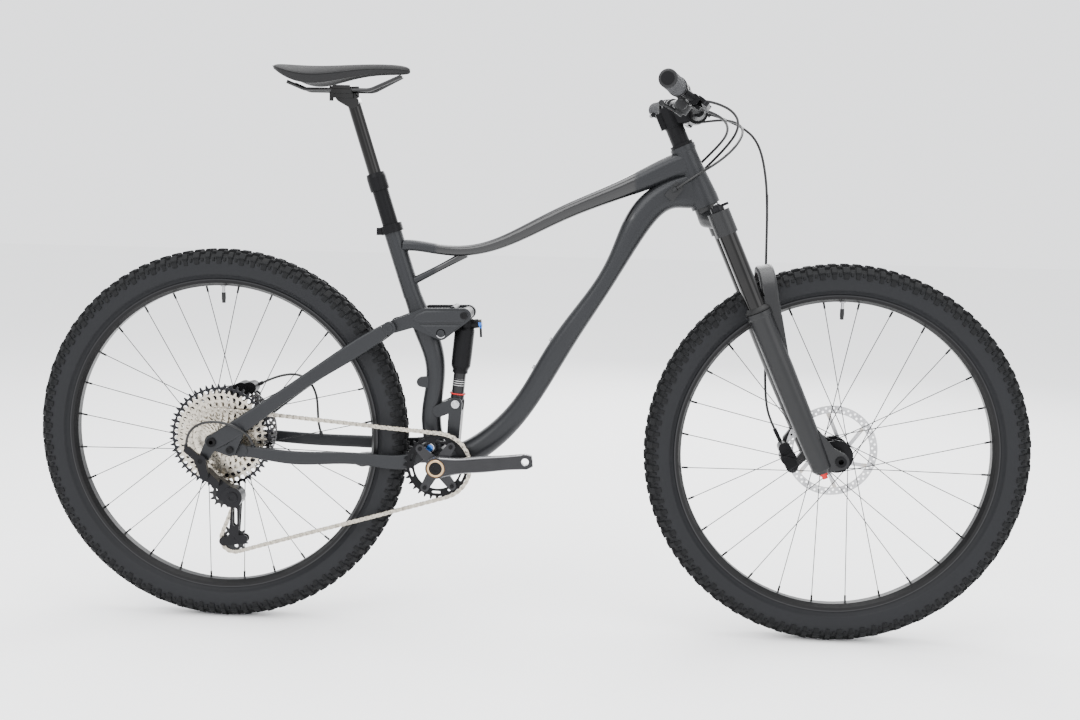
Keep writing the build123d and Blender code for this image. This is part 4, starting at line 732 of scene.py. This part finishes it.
# ---- Tyres ----------------------------------------------------------------------------------
def casing_outline():
    """The casing's outer curve from bead to bead and its inner wall, as (radius, across)."""
    half = [(0.3066, 0.0146), (0.3133, 0.0146), (0.3175, 0.0186), (0.3215, 0.0228), (0.3222, 0.0240),
            (0.3240, 0.0246), (0.3300, 0.0268), (0.3370, 0.0283), (0.3430, 0.0286), (0.3500, 0.0277),
            (0.3560, 0.0255), (0.3610, 0.0212), (0.3645, 0.0155), (0.3665, 0.0085)]
    inside = [(0.3622, 0.0075), (0.3540, 0.0205), (0.3430, 0.0255), (0.3300, 0.0238), (0.3190, 0.0165),
              (0.3133, 0.0118), (0.3066, 0.0112)]
    outer = half + [(0.3672, 0.0)] + [(r, -y) for r, y in reversed(half)]
    inner = [(r, -y) for r, y in reversed(inside)] + [(0.3635, 0.0)] + inside
    return outer + inner


def knob_places(axle, rows):
    """(matrix, size) of each block: centre pairs, transition blocks, shoulders and their feet."""
    places = []
    for row in range(rows):
        angle = math.tau * row / rows
        out = Vector((math.sin(angle), 0, math.cos(angle)))
        along = Vector((math.cos(angle), 0, -math.sin(angle)))
        if row % 2 == 0:
            wide = row % 4 == 0
            length = 0.0150 if wide else 0.0115
            blocks = [(0.0058 if wide else 0.0085, 0.3661, 4, (0.0170, 0.0092, 0.0112)),
                      (0.0222, 0.3582, 46, (length, 0.0165, 0.0112)),
                      (0.0277, 0.3492, 80, (length * 0.72, 0.0125, 0.0046))]
        else:
            blocks = [(0.0148, 0.3634, 22, (0.0105, 0.0075, 0.0110)),
                      (0.0281, 0.3525, 72, (0.0050, 0.0080, 0.0040))]
        for y, radius, lean, size in blocks:
            for side in (-1, 1):
                tip = math.radians(lean) * side
                normal = out * math.cos(tip) + ACROSS * math.sin(tip)
                places.append((frame_of(axle + out * radius + ACROSS * (y * side), normal, along), size))
    return places


def make_tyre(name, node, axle, body, sizes):
    casing = turned(casing_outline(), axle, ACROSS, steps=180)
    done(casing, f"{name}_casing", body, "sidewall_rubber", smooth=60)
    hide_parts(node)
    master = block(Vector((0, 0, 0)), (1, 1, 1), taper=0.84, bevel=0)
    with_modifier(master, "BEVEL", width=0.07, segments=1, limit_method="ANGLE")
    matrices = [matrix @ Matrix.Diagonal((*size, 1)) for matrix, size in knob_places(axle, sizes.knob_rows)]
    knobs = repeated(master, matrices)
    done(knobs, f"{name}_tread_blocks", body, "tread_rubber", smooth=20)


# ---- Saddle ---------------------------------------------------------------------------------
SADDLE_ROWS = [(0.3690, 1.0950, 1.0890, 0.0080), (0.3655, 1.0985, 1.0860, 0.0200),
               (0.3560, 1.1012, 1.0845, 0.0300), (0.3400, 1.1032, 1.0838, 0.0360),
               (0.3150, 1.1045, 1.0832, 0.0420), (0.2850, 1.1040, 1.0805, 0.0500),
               (0.2550, 1.1020, 1.0745, 0.0620), (0.2300, 1.1000, 1.0680, 0.0800),
               (0.2050, 1.0985, 1.0620, 0.1020), (0.1800, 1.0980, 1.0595, 0.1240),
               (0.1550, 1.0984, 1.0640, 0.1390), (0.1340, 1.0992, 1.0745, 0.1390),
               (0.1210, 1.0990, 1.0840, 0.1240), (0.1130, 1.0980, 1.0890, 0.0950),
               (0.1100, 1.0955, 1.0915, 0.0550)]


def saddle_point(row, turn, channel_depth):
    """A point of one cross-section; turn runs once round, from the left edge over the top."""
    ahead, top, low, width = row
    half = width / 2
    thick = top - low
    if turn < 0.5:
        across = math.cos(math.pi * turn * 2)
        y = half * math.copysign(abs(across) ** 0.72, across)
        drop = thick * 0.62 * abs(across) ** 3.2
        channel = channel_depth * math.exp(-(y / 0.010) ** 2) * min(1.0, max(0.0, (0.345 - ahead) / 0.05))
        return at(ahead, top - drop - channel, y)
    share = (turn - 0.5) * 2
    across = -math.cos(math.pi * share)
    y = half * 0.90 * math.copysign(abs(across) ** 0.8, across)
    rise = thick * 0.22 * (1 - abs(across) ** 2) + thick * 0.10
    return at(ahead, low + rise * (0.4 if abs(across) > 0.8 else 1.0), y)


def make_saddle(sizes):
    """A firm padded saddle: a subdivided grid rolled into a closed shell and rounded."""
    bpy.ops.object.select_all(action="DESELECT")
    count = SADDLE_SECTION_POINTS
    bpy.ops.mesh.primitive_grid_add(x_subdivisions=count, y_subdivisions=len(SADDLE_ROWS) - 1, size=1)
    saddle = bpy.context.object
    for vertex in saddle.data.vertices:
        turn = vertex.co.x + 0.5
        index = round((vertex.co.y + 0.5) * (len(SADDLE_ROWS) - 1))
        vertex.co = saddle_point(SADDLE_ROWS[index], turn % 1.0, sizes.saddle_channel)
    edit(saddle, lambda: bpy.ops.mesh.remove_doubles(threshold=0.00005),
         lambda: bpy.ops.mesh.select_all(action="DESELECT"),
         lambda: bpy.ops.mesh.select_non_manifold(),
         lambda: bpy.ops.mesh.fill_holes(sides=0),
         lambda: bpy.ops.mesh.select_all(action="SELECT"),
         lambda: bpy.ops.mesh.normals_make_consistent(inside=False))
    with_modifier(saddle, "SUBSURF", levels=2, render_levels=2)
    done(saddle, "saddle_padding", "saddle_post", "saddle_cover", smooth=70)
    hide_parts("saddle")
    seam_points = [saddle_point(row, 0.055, 0.0) for row in SADDLE_ROWS[1:-1]]
    for side in (-1, 1):
        line = [Vector((p.x, side * (abs(p.y) + 0.0002), p.z)) for p in seam_points]
        seam = tube(line, 0.0007, "seam_line")
        done(seam, f"saddle_seam_{'left' if side > 0 else 'right'}", "saddle_post", "seal_rubber",
             smooth=70)


# ---- Cords ----------------------------------------------------------------------------------
def tube(points, radius, name, rounds=5, lengthwise=6):
    """A smooth tube whose line takes the points as the control points of one open spline."""
    curve = bpy.data.curves.new(name, "CURVE")
    curve.dimensions = "3D"
    curve.bevel_depth = radius
    curve.bevel_resolution = rounds
    curve.resolution_u = lengthwise
    curve.use_fill_caps = True
    spline = curve.splines.new("NURBS")
    spline.points.add(len(points) - 1)
    for knot, point in zip(spline.points, points):
        knot.co = (*point, 1)
    spline.order_u = 3
    spline.use_endpoint_u = True
    piece = bpy.data.objects.new(name, curve)
    bpy.context.scene.collection.objects.link(piece)
    only(piece)
    bpy.ops.object.convert(target="MESH")
    return bpy.context.object


def route(rows):
    return [at(ahead, height, y) for ahead, height, y in rows]


HOSE_RADIUS = 0.0025
FRONT_HOSE = route([
    (0.906, 1.034, 0.146), (0.914, 1.034, 0.128), (0.934, 1.031, 0.116), (0.962, 1.024, 0.112),
    (0.990, 1.014, 0.112), (1.017, 1.001, 0.110), (1.038, 0.984, 0.105), (1.052, 0.958, 0.099),
    (1.061, 0.920, 0.092), (1.067, 0.872, 0.087), (1.069, 0.820, 0.085), (1.070, 0.767, 0.087),
    (1.072, 0.713, 0.092), (1.075, 0.658, 0.096), (1.077, 0.602, 0.096), (1.078, 0.546, 0.091),
    (1.079, 0.494, 0.082), (1.082, 0.455, 0.073), (1.089, 0.428, 0.066), (1.099, 0.408, 0.060)])
DROPPER = route([
    (0.880, 1.025, 0.182), (0.884, 1.019, 0.165), (0.898, 1.012, 0.147), (0.922, 1.010, 0.129),
    (0.952, 1.014, 0.108), (0.981, 1.015, 0.084), (1.002, 1.008, 0.058), (1.010, 0.994, 0.031),
    (1.004, 0.975, 0.006), (0.986, 0.952, -0.016), (0.960, 0.930, -0.034), (0.930, 0.911, -0.042),
    (0.903, 0.893, -0.039), (0.884, 0.880, -0.031)])
SHIFT = route([
    (0.887, 1.025, -0.164), (0.892, 1.025, -0.148), (0.906, 1.024, -0.132), (0.926, 1.020, -0.118),
    (0.947, 1.014, -0.102), (0.965, 1.005, -0.080), (0.974, 0.993, -0.054), (0.973, 0.979, -0.028),
    (0.964, 0.965, -0.002), (0.950, 0.949, 0.021), (0.934, 0.932, 0.035), (0.917, 0.914, 0.041),
    (0.902, 0.898, 0.038), (0.893, 0.888, 0.031)])
REAR_HOSE = route([
    (0.906, 1.034, -0.146), (0.914, 1.036, -0.128), (0.934, 1.036, -0.112), (0.957, 1.031, -0.098),
    (0.978, 1.022, -0.080), (0.992, 1.008, -0.056), (0.994, 0.990, -0.030), (0.985, 0.971, -0.003),
    (0.968, 0.949, 0.022), (0.947, 0.926, 0.037), (0.924, 0.903, 0.042), (0.904, 0.884, 0.038),
    (0.891, 0.872, 0.031)])
SHIFT_TAIL = route([
    (0.076, 0.366, -0.070), (0.075, 0.379, -0.079), (0.066, 0.394, -0.089), (0.045, 0.408, -0.096),
    (0.017, 0.415, -0.098), (-0.011, 0.413, -0.098), (-0.033, 0.402, -0.096), (-0.046, 0.385, -0.093),
    (-0.049, 0.367, -0.091)])
REAR_TAIL = route([
    (0.056, 0.467, 0.077), (0.073, 0.475, 0.081), (0.094, 0.482, 0.083), (0.118, 0.486, 0.082),
    (0.141, 0.482, 0.078), (0.158, 0.467, 0.075), (0.168, 0.446, 0.073), (0.171, 0.424, 0.071),
    (0.173, 0.402, 0.066), (0.176, 0.384, 0.060), (0.181, 0.371, 0.056)])

# name, node it stands for, route, body at its start, body at its end
CORDS = [("front_hose_line", "front_brake_hose", FRONT_HOSE[9:], "steering", "fork_lower"),
         ("dropper_line", "dropper_housing", DROPPER, "steering", "frame"),
         ("shift_line", "shift_housing", SHIFT, "steering", "frame"),
         ("rear_hose_line", "rear_brake_hose", REAR_HOSE, "steering", "frame"),
         ("shift_tail_line", "shift_housing", SHIFT_TAIL, "chainstay_yoke", "seatstay_yoke"),
         ("rear_tail_line", "rear_brake_hose", REAR_TAIL, "seatstay_yoke", "chainstay_yoke")]


# name, centre, distance from the mid plane, radius, height, body, finish, slot
SIDE_BOLTS = [
    ("rocker_pivot_cap", rocker_pivot, 0.0460, 0.0075, 0.0016, "frame", "frame_paint", "frame_paint"),
    ("shock_bolt", shock_high, 0.0452, 0.0072, 0.0018, "rocker", "bolt_black", "bolt_steel"),
    ("seatstay_pivot_cap", rocker_rear, 0.0530, 0.0080, 0.0016,
     "seatstay_yoke", "frame_paint", "frame_paint"),
    ("rear_pivot_cap", horst, 0.0872, 0.0070, 0.0020, "seatstay_yoke", "bolt_black", "bolt_steel"),
    ("shock_foot_bolt", shock_low, 0.0250, 0.0062, 0.0020, "frame", "bolt_steel", "bolt_steel"),
    ("spindle_bolt", bottom_bracket, 0.0768, 0.0124, 0.0024, "crankset", "bolt_black", "bolt_steel")]

ROCKER_FACE = 0.0430
ROCKER_PANELS = {
    "crown": [(0.384, 0.618), (0.392, 0.628), (0.410, 0.636), (0.484, 0.638), (0.494, 0.630),
              (0.484, 0.616), (0.398, 0.612)],
    "skirt": [(0.398, 0.608), (0.478, 0.610), (0.447, 0.583), (0.434, 0.583)]}


# ---- Stage ----------------------------------------------------------------------------------
CAMERA_PLACE = (0.17627, -2.46633, 0.86536)
CAMERA_HEADING, CAMERA_NOD, CAMERA_LEAN = 0.061219, -0.130731, -0.021623
CAMERA_LENS, CAMERA_SENSOR = 42.34, 36
AIR_COLOUR, AIR_STRENGTH = (0.97, 0.98, 1.0), 2.1
LIGHT_TARGET = Vector((0, 0, 0.55))

# name, place, size, power
LAMPS = [("key_light", (-1.6, -2.6, 2.9), 2.4, 105), ("fill_light", (2.6, -2.2, 1.7), 2.0, 36),
         ("top_light", (0.1, 0.2, 3.4), 2.8, 150), ("back_light", (0.6, 2.9, 2.2), 2.2, 85),
         ("low_light", (-0.2, -3.4, 0.6), 1.8, 11)]


# ---- Operators ------------------------------------------------------------------------------
class BIKE_OT_finishes(bpy.types.Operator):
    """Make the materials and give each fixed part of the bike its own"""

    bl_idname = "bike.finishes"
    bl_label = "Finishes"

    def execute(self, context):
        finishes.update(make_materials(context.scene.bike_colours))
        for finish, nodes in CAD_FINISHES.items():
            for node in nodes:
                materials = frame["nodes"][node].data.materials
                materials.clear()
                materials.append(finishes[finish])
        return {"FINISHED"}


class BIKE_OT_tyres(bpy.types.Operator):
    """Model both tyres: a spun casing and its tread blocks"""

    bl_idname = "bike.tyres"
    bl_label = "Tyres"

    def execute(self, context):
        sizes = context.scene.bike_sizes
        make_tyre("front", "front_tyre", front_axle, "front_wheel", sizes)
        make_tyre("rear", "rear_tyre", rear_axle, "rear_wheel", sizes)
        return {"FINISHED"}


class BIKE_OT_saddle(bpy.types.Operator):
    """Model the padded saddle and its side seams"""

    bl_idname = "bike.saddle"
    bl_label = "Saddle"

    def execute(self, context):
        make_saddle(context.scene.bike_sizes)
        return {"FINISHED"}


class BIKE_OT_grips(bpy.types.Operator):
    """Turn the ridged grips, their lock rings and the bar plugs"""

    bl_idname = "bike.grips"
    bl_label = "Grips"

    def execute(self, context):
        ridges = context.scene.bike_sizes.grip_ridges
        for side, name in ((-1, "right"), (1, "left")):
            inner, outer = on_bar(side * 0.2585), on_bar(side * BAR_HALF)
            along = (outer - inner).normalized()
            length = (outer - inner).length - 0.006
            start = 0.0105
            pitch = (length - start - 0.006) / ridges
            outline = [(0.0113, start), (0.0142, start)]
            for index in range(ridges):
                base = start + 0.001 + index * pitch
                outline += [(0.0143, base), (0.0156, base + pitch * 0.22),
                            (0.0156, base + pitch * 0.62), (0.0143, base + pitch * 0.84)]
            outline += [(0.0158, length - 0.004), (0.0158, length), (0.0113, length)]
            sleeve = turned(outline, inner, along, steps=40)
            done(sleeve, f"grip_sleeve_{name}", "steering", "grip_rubber", smooth=30)
            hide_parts("grips")
            lock = ring_round(inner + along * 0.0006, along, 0.0113, 0.0170, 0.0094)
            screw_at = inner + along * 0.0053 + steer_out * -0.0160
            screw = socket_bolt(screw_at, steer_out * -1, 0.0022, 0.0016)
            done(joined([lock, screw]), f"grip_lock_{name}", "steering", "anodised")
            plug = turned([(0, 0), (0.0150, 0), (0.0150, 0.0024), (0.0128, 0.0042), (0.0060, 0.0046),
                           (0.0052, 0.0038), (0, 0.0038)], outer - along * 0.0055, along, steps=36)
            done(plug, f"bar_plug_{name}", "steering", "moulded")
        return {"FINISHED"}


class BIKE_OT_cords(bpy.types.Operator):
    """Lay the hoses and housings along their routes, with collars at their upper ends"""

    bl_idname = "bike.cords"
    bl_label = "Hoses and housings"

    def execute(self, context):
        head = tube(FRONT_HOSE[:11], HOSE_RADIUS, "front_hose_head")
        done(head, "front_hose_head", "steering", "hose_skin", smooth=60)
        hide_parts("front_brake_hose")
        for name, node, points, first, second in CORDS:
            line = tube(points, HOSE_RADIUS, name)
            done(line, name, None, "hose_skin", smooth=60)
            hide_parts(node)
            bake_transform(line)
        for name, points in (("front_hose_collar", FRONT_HOSE), ("dropper_collar", DROPPER),
                             ("shift_collar", SHIFT), ("rear_hose_collar", REAR_HOSE)):
            along = (points[1] - points[0]).normalized()
            collar = turned([(0.0026, 0), (0.0040, 0), (0.0042, 0.004), (0.0036, 0.009), (0.0030, 0.013),
                             (0.0026, 0.013)], points[0] + along * 0.0002, along, steps=24)
            done(collar, name, "steering", "seal_rubber")
        return {"FINISHED"}


class BIKE_OT_chain(bpy.types.Operator):
    """Part the chain into runs by place and height, with the bodies that carry each run listed but not used
    """

    bl_idname = "bike.chain"
    bl_label = "Chain"

    def execute(self, context):
        whole = copied(frame["nodes"]["chain"], Matrix.Identity(4))
        whole.parent = None
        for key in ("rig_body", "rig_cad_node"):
            if key in whole:
                del whole[key]
        edit(whole, lambda: bpy.ops.mesh.remove_doubles(threshold=0.000002),
             lambda: bpy.ops.mesh.separate(type="LOOSE"))
        links = list(context.selected_objects)
        # bounds of the runs: places ahead of the rear axle, then heights above the guide pulley
        split, cage_end = 0.200, 0.110
        low, high = 0.275, 0.315
        runs = {"front": [], "upper": [], "drop": [], "cage": [], "lower": []}
        for link in links:
            spots = [vertex.co for vertex in link.data.vertices]
            ahead = sum(spot.x for spot in spots) / len(spots) + WHEELBASE / 2
            height = sum(spot.z for spot in spots) / len(spots)
            if ahead > split:
                runs["front"].append(link)
            elif height > high or (height > low and ahead > cage_end):
                runs["upper"].append(link)
            elif height > low:
                runs["drop"].append(link)
            else:
                runs["cage" if ahead < cage_end else "lower"].append(link)
        follow = {"front": ("chainstay_yoke", "frame", at(split, 0), at(0.390, 0)),
                  "upper": ("seatstay_yoke", "chainstay_yoke", at(0.060, 0), at(split, 0)),
                  "drop": ("cage", "seatstay_yoke", at(0, 0.286), at(0, high)),
                  "cage": ("cage", "seatstay_yoke", at(0.055, 0), at(cage_end, 0)),
                  "lower": ("seatstay_yoke", "chainstay_yoke", at(cage_end, 0), at(split, 0))}
        for name, members in runs.items():
            run = joined(members)
            done(run, f"chain_{name}_run", None, "chain_plating", smooth=25)
            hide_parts("chain")
            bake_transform(run)
        return {"FINISHED"}


class BIKE_OT_fork_trim(bpy.types.Operator):
    """Add the wiper seals, the travel ring and the caps of the fork"""

    bl_idname = "bike.fork_trim"
    bl_label = "Fork trim"

    def execute(self, context):
        for side, name in ((-1, "right"), (1, "left")):
            y = side * LEG_SPACING
            foot = on_steer(LEG_TOP - 0.001, STANCHION_LEAD, y)
            wiper = turned([(0.01765, 0.0005), (0.0238, 0.0005), (0.0242, 0.0022), (0.0236, 0.0040),
                            (0.0205, 0.0062), (0.0192, 0.0088), (0.01765, 0.0096)],
                           foot, steer_up, steps=56)
            done(wiper, f"wiper_seal_{name}", "fork_lower", "seal_rubber", smooth=50)
            arch_up = Vector((-0.16, 0, 0.987)).normalized()
            root = on_steer(0.300, STANCHION_LEAD + 0.021, side * (LEG_SPACING - 0.003))
            tip = on_steer(0.226, 0.0270, side * (LEG_SPACING - 0.001))
            done(wedge(tip, root + arch_up * 0.008, arch_up, (0.012, 0.016), (0.0146, 0.0326)),
                 f"arch_root_{name}", "fork_lower", "fork_paint", smooth=60)
        ring_at = on_steer(LEG_TOP + 0.030, STANCHION_LEAD, LEG_SPACING)
        ring = hoop(ring_at, steer_up, STANCHION_RADIUS + 0.0001, 0.0013, steps=48)
        done(ring, "travel_ring", "fork_lower", "red_rubber", smooth=80)
        cap_at = on_steer(0.5321, STANCHION_LEAD, LEG_SPACING)
        cap = turned([(0, 0), (0.0128, 0), (0.0128, 0.0026), (0.0112, 0.0040), (0.0068, 0.0040),
                      (0.0062, 0.0024), (0, 0.0024)], cap_at, steer_up, steps=6)
        done(cap, "air_cap", "steering", "anodised")
        shaft = socket_bolt(on_steer(0.5408, STANCHION_LEAD, -LEG_SPACING), steer_up, 0.0036, 0.0016)
        done(shaft, "dial_screw", "damping_dial", "bolt_steel")
        return {"FINISHED"}


class BIKE_OT_fasteners(bpy.types.Operator):
    """Add the bolts, caps and rings that show on pivots, stem, cranks and levers"""

    bl_idname = "bike.fasteners"
    bl_label = "Fasteners"

    def execute(self, context):
        stem_up, stem_face, spread_up, spread_across = 0.712, 0.0675, 0.0125, 0.017
        places = [on_steer(stem_up + up, stem_face, y)
                  for up in (-spread_up, spread_up) for y in (-spread_across, spread_across)]
        faces = [socket_bolt(place, steer_out, 0.0036, 0.0030) for place in places]
        done(joined(faces), "stem_face_bolts", "steering", "bolt_black")
        top = socket_bolt(on_steer(0.7445, 0.0), steer_up, 0.0048, 0.0022)
        done(top, "top_cap_bolt", "steering", "bolt_black")
        for side, name in ((-1, "right"), (1, "left")):
            out = ACROSS * side
            for title, centre, reach, radius, height, body, finish, slot in SIDE_BOLTS:
                bolt = socket_bolt(centre + out * reach, out, radius, height)
                done(bolt, f"{title}_{name}", body, finish)
            main = socket_bolt(main_pivot + out * 0.0415, out, 0.0070, 0.0022)
            done(main, f"main_pivot_cap_{name}", "frame", "blue_alloy" if side < 0 else "bolt_black")
            for part, outline in ROCKER_PANELS.items():
                done(panel(outline, ROCKER_FACE * side, 0.0020 * side, 0.0035, 0.0010 * side),
                     f"rocker_{part}_{name}", "rocker", "frame_paint", smooth=12)
            ring = ring_round(bottom_bracket + out * 0.0770, out, 0.0128, 0.0176, 0.0024)
            done(ring, f"spindle_ring_{name}", "crankset", "bronze")
        ring = hoop(shock_low + shock_up * 0.0186, shock_up, 0.0135, 0.0014, steps=40)
        done(ring, "shock_travel_ring", "shock_rod", "red_rubber", smooth=80)
        lock = ring_round(rear_axle + ACROSS * -0.0690, ACROSS * -1, 0.0070, 0.0126, 0.0022)
        done(lock, "cassette_lockring", "cassette", "anodised")
        knuckle = socket_bolt(cage_pivot + ACROSS * -0.0780, ACROSS * -1, 0.0110, 0.0026)
        done(knuckle, "clutch_cap", "seatstay_yoke", "anodised_satin")
        return {"FINISHED"}


class BIKE_OT_valves(bpy.types.Operator):
    """Add the valve nuts and caps of both wheels"""

    bl_idname = "bike.valves"
    bl_label = "Valves"

    def execute(self, context):
        inward = Vector((0, 0, -1))
        for name, axle, body in (("front", front_axle, "front_wheel"), ("rear", rear_axle, "rear_wheel")):
            rim = axle + Vector((0, 0, 0.2990))
            nut = turned([(0.0027, 0), (0.0060, 0), (0.0060, 0.0016), (0.0050, 0.0026), (0.0027, 0.0026)],
                         rim + inward * 0.0002, inward, steps=20)
            stem = turned([(0.00265, 0), (0.0031, 0), (0.0031, 0.0112), (0.00265, 0.0112)],
                          rim + inward * 0.0029, inward, steps=20)
            done(joined([nut, stem]), f"{name}_valve_stem", body, "bolt_steel")
            cap = turned([(0.00365, 0), (0.0041, 0), (0.0042, 0.012), (0.0037, 0.0165), (0.0022, 0.0208),
                          (0, 0.0212), (0, 0.0204), (0.00365, 0.0204)],
                         rim + inward * 0.0142, inward, steps=20)
            done(cap, f"{name}_valve_cap", body, "moulded")
        return {"FINISHED"}


class BIKE_OT_stage(bpy.types.Operator):
    """Set the pale floor, the soft studio light and the camera"""

    bl_idname = "bike.stage"
    bl_label = "Stage"

    def execute(self, context):
        bpy.ops.object.select_all(action="DESELECT")
        bpy.ops.mesh.primitive_plane_add(size=30, location=(0, 0, -0.0005))
        floor = context.object
        floor.name = "studio_floor"
        shader = Shader("studio_floor", Roughness=0.9, Specular_IOR_Level=0.0)
        cloud = shader.noise(0.7, 3.0)
        shader.set(Base_Color=shader.mix(cloud, (0.93, 0.93, 0.93), (0.96, 0.96, 0.96)))
        floor.data.materials.append(shader.material)
        world = bpy.data.worlds.new("studio_air")
        world.use_nodes = True
        air = world.node_tree.nodes["Background"]
        air.inputs["Color"].default_value = (*AIR_COLOUR, 1)
        air.inputs["Strength"].default_value = AIR_STRENGTH
        context.scene.world = world
        for name, place, size, power in LAMPS:
            lamp = bpy.data.lights.new(name, "AREA")
            lamp.size = size
            lamp.energy = power
            holder = bpy.data.objects.new(name, lamp)
            context.scene.collection.objects.link(holder)
            holder.location = place
            aim = LIGHT_TARGET - Vector(place)
            holder.rotation_euler = aim.to_track_quat("-Z", "Y").to_euler()
        lens = bpy.data.cameras.new("studio_camera")
        lens.lens = CAMERA_LENS
        lens.sensor_width = CAMERA_SENSOR
        lens.clip_start = 0.05
        camera = bpy.data.objects.new("studio_camera", lens)
        context.scene.collection.objects.link(camera)
        heading = Matrix.Rotation(CAMERA_HEADING, 4, "Z")
        nod = Matrix.Rotation(CAMERA_NOD, 4, "X")
        lean = Matrix.Rotation(CAMERA_LEAN, 4, "Y")
        upright = Matrix.Rotation(math.pi / 2, 4, "X")
        camera.matrix_world = Matrix.Translation(CAMERA_PLACE) @ heading @ nod @ lean @ upright
        context.scene.camera = camera
        return {"FINISHED"}


STEPS = (BIKE_OT_finishes, BIKE_OT_stage, BIKE_OT_cords, BIKE_OT_tyres, BIKE_OT_saddle, BIKE_OT_grips,
         BIKE_OT_chain, BIKE_OT_fork_trim, BIKE_OT_fasteners, BIKE_OT_valves)


class BIKE_PT_panel(bpy.types.Panel):
    """Lists the steps that finish the bike"""

    bl_idname = "BIKE_PT_panel"
    bl_label = "Mountain bike"
    bl_space_type = "VIEW_3D"
    bl_region_type = "UI"
    bl_category = "Bike"

    def draw(self, context):
        for group in (context.scene.bike_colours, context.scene.bike_sizes):
            for key in group.__annotations__:
                self.layout.prop(group, key)
        for step in STEPS:
            self.layout.operator(step.bl_idname)


CLASSES = (BikeColours, BikeSizes, *STEPS, BIKE_PT_panel)


def register():
    for item in CLASSES:
        bpy.utils.register_class(item)
    bpy.types.Scene.bike_colours = PointerProperty(type=BikeColours)
    bpy.types.Scene.bike_sizes = PointerProperty(type=BikeSizes)


def unregister():
    del bpy.types.Scene.bike_sizes
    del bpy.types.Scene.bike_colours
    for item in reversed(CLASSES):
        bpy.utils.unregister_class(item)


def main():
    register()
    for step in STEPS:
        group, name = step.bl_idname.split(".")
        getattr(getattr(bpy.ops, group), name)()
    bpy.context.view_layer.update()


if __name__ == "__main__":
    main()
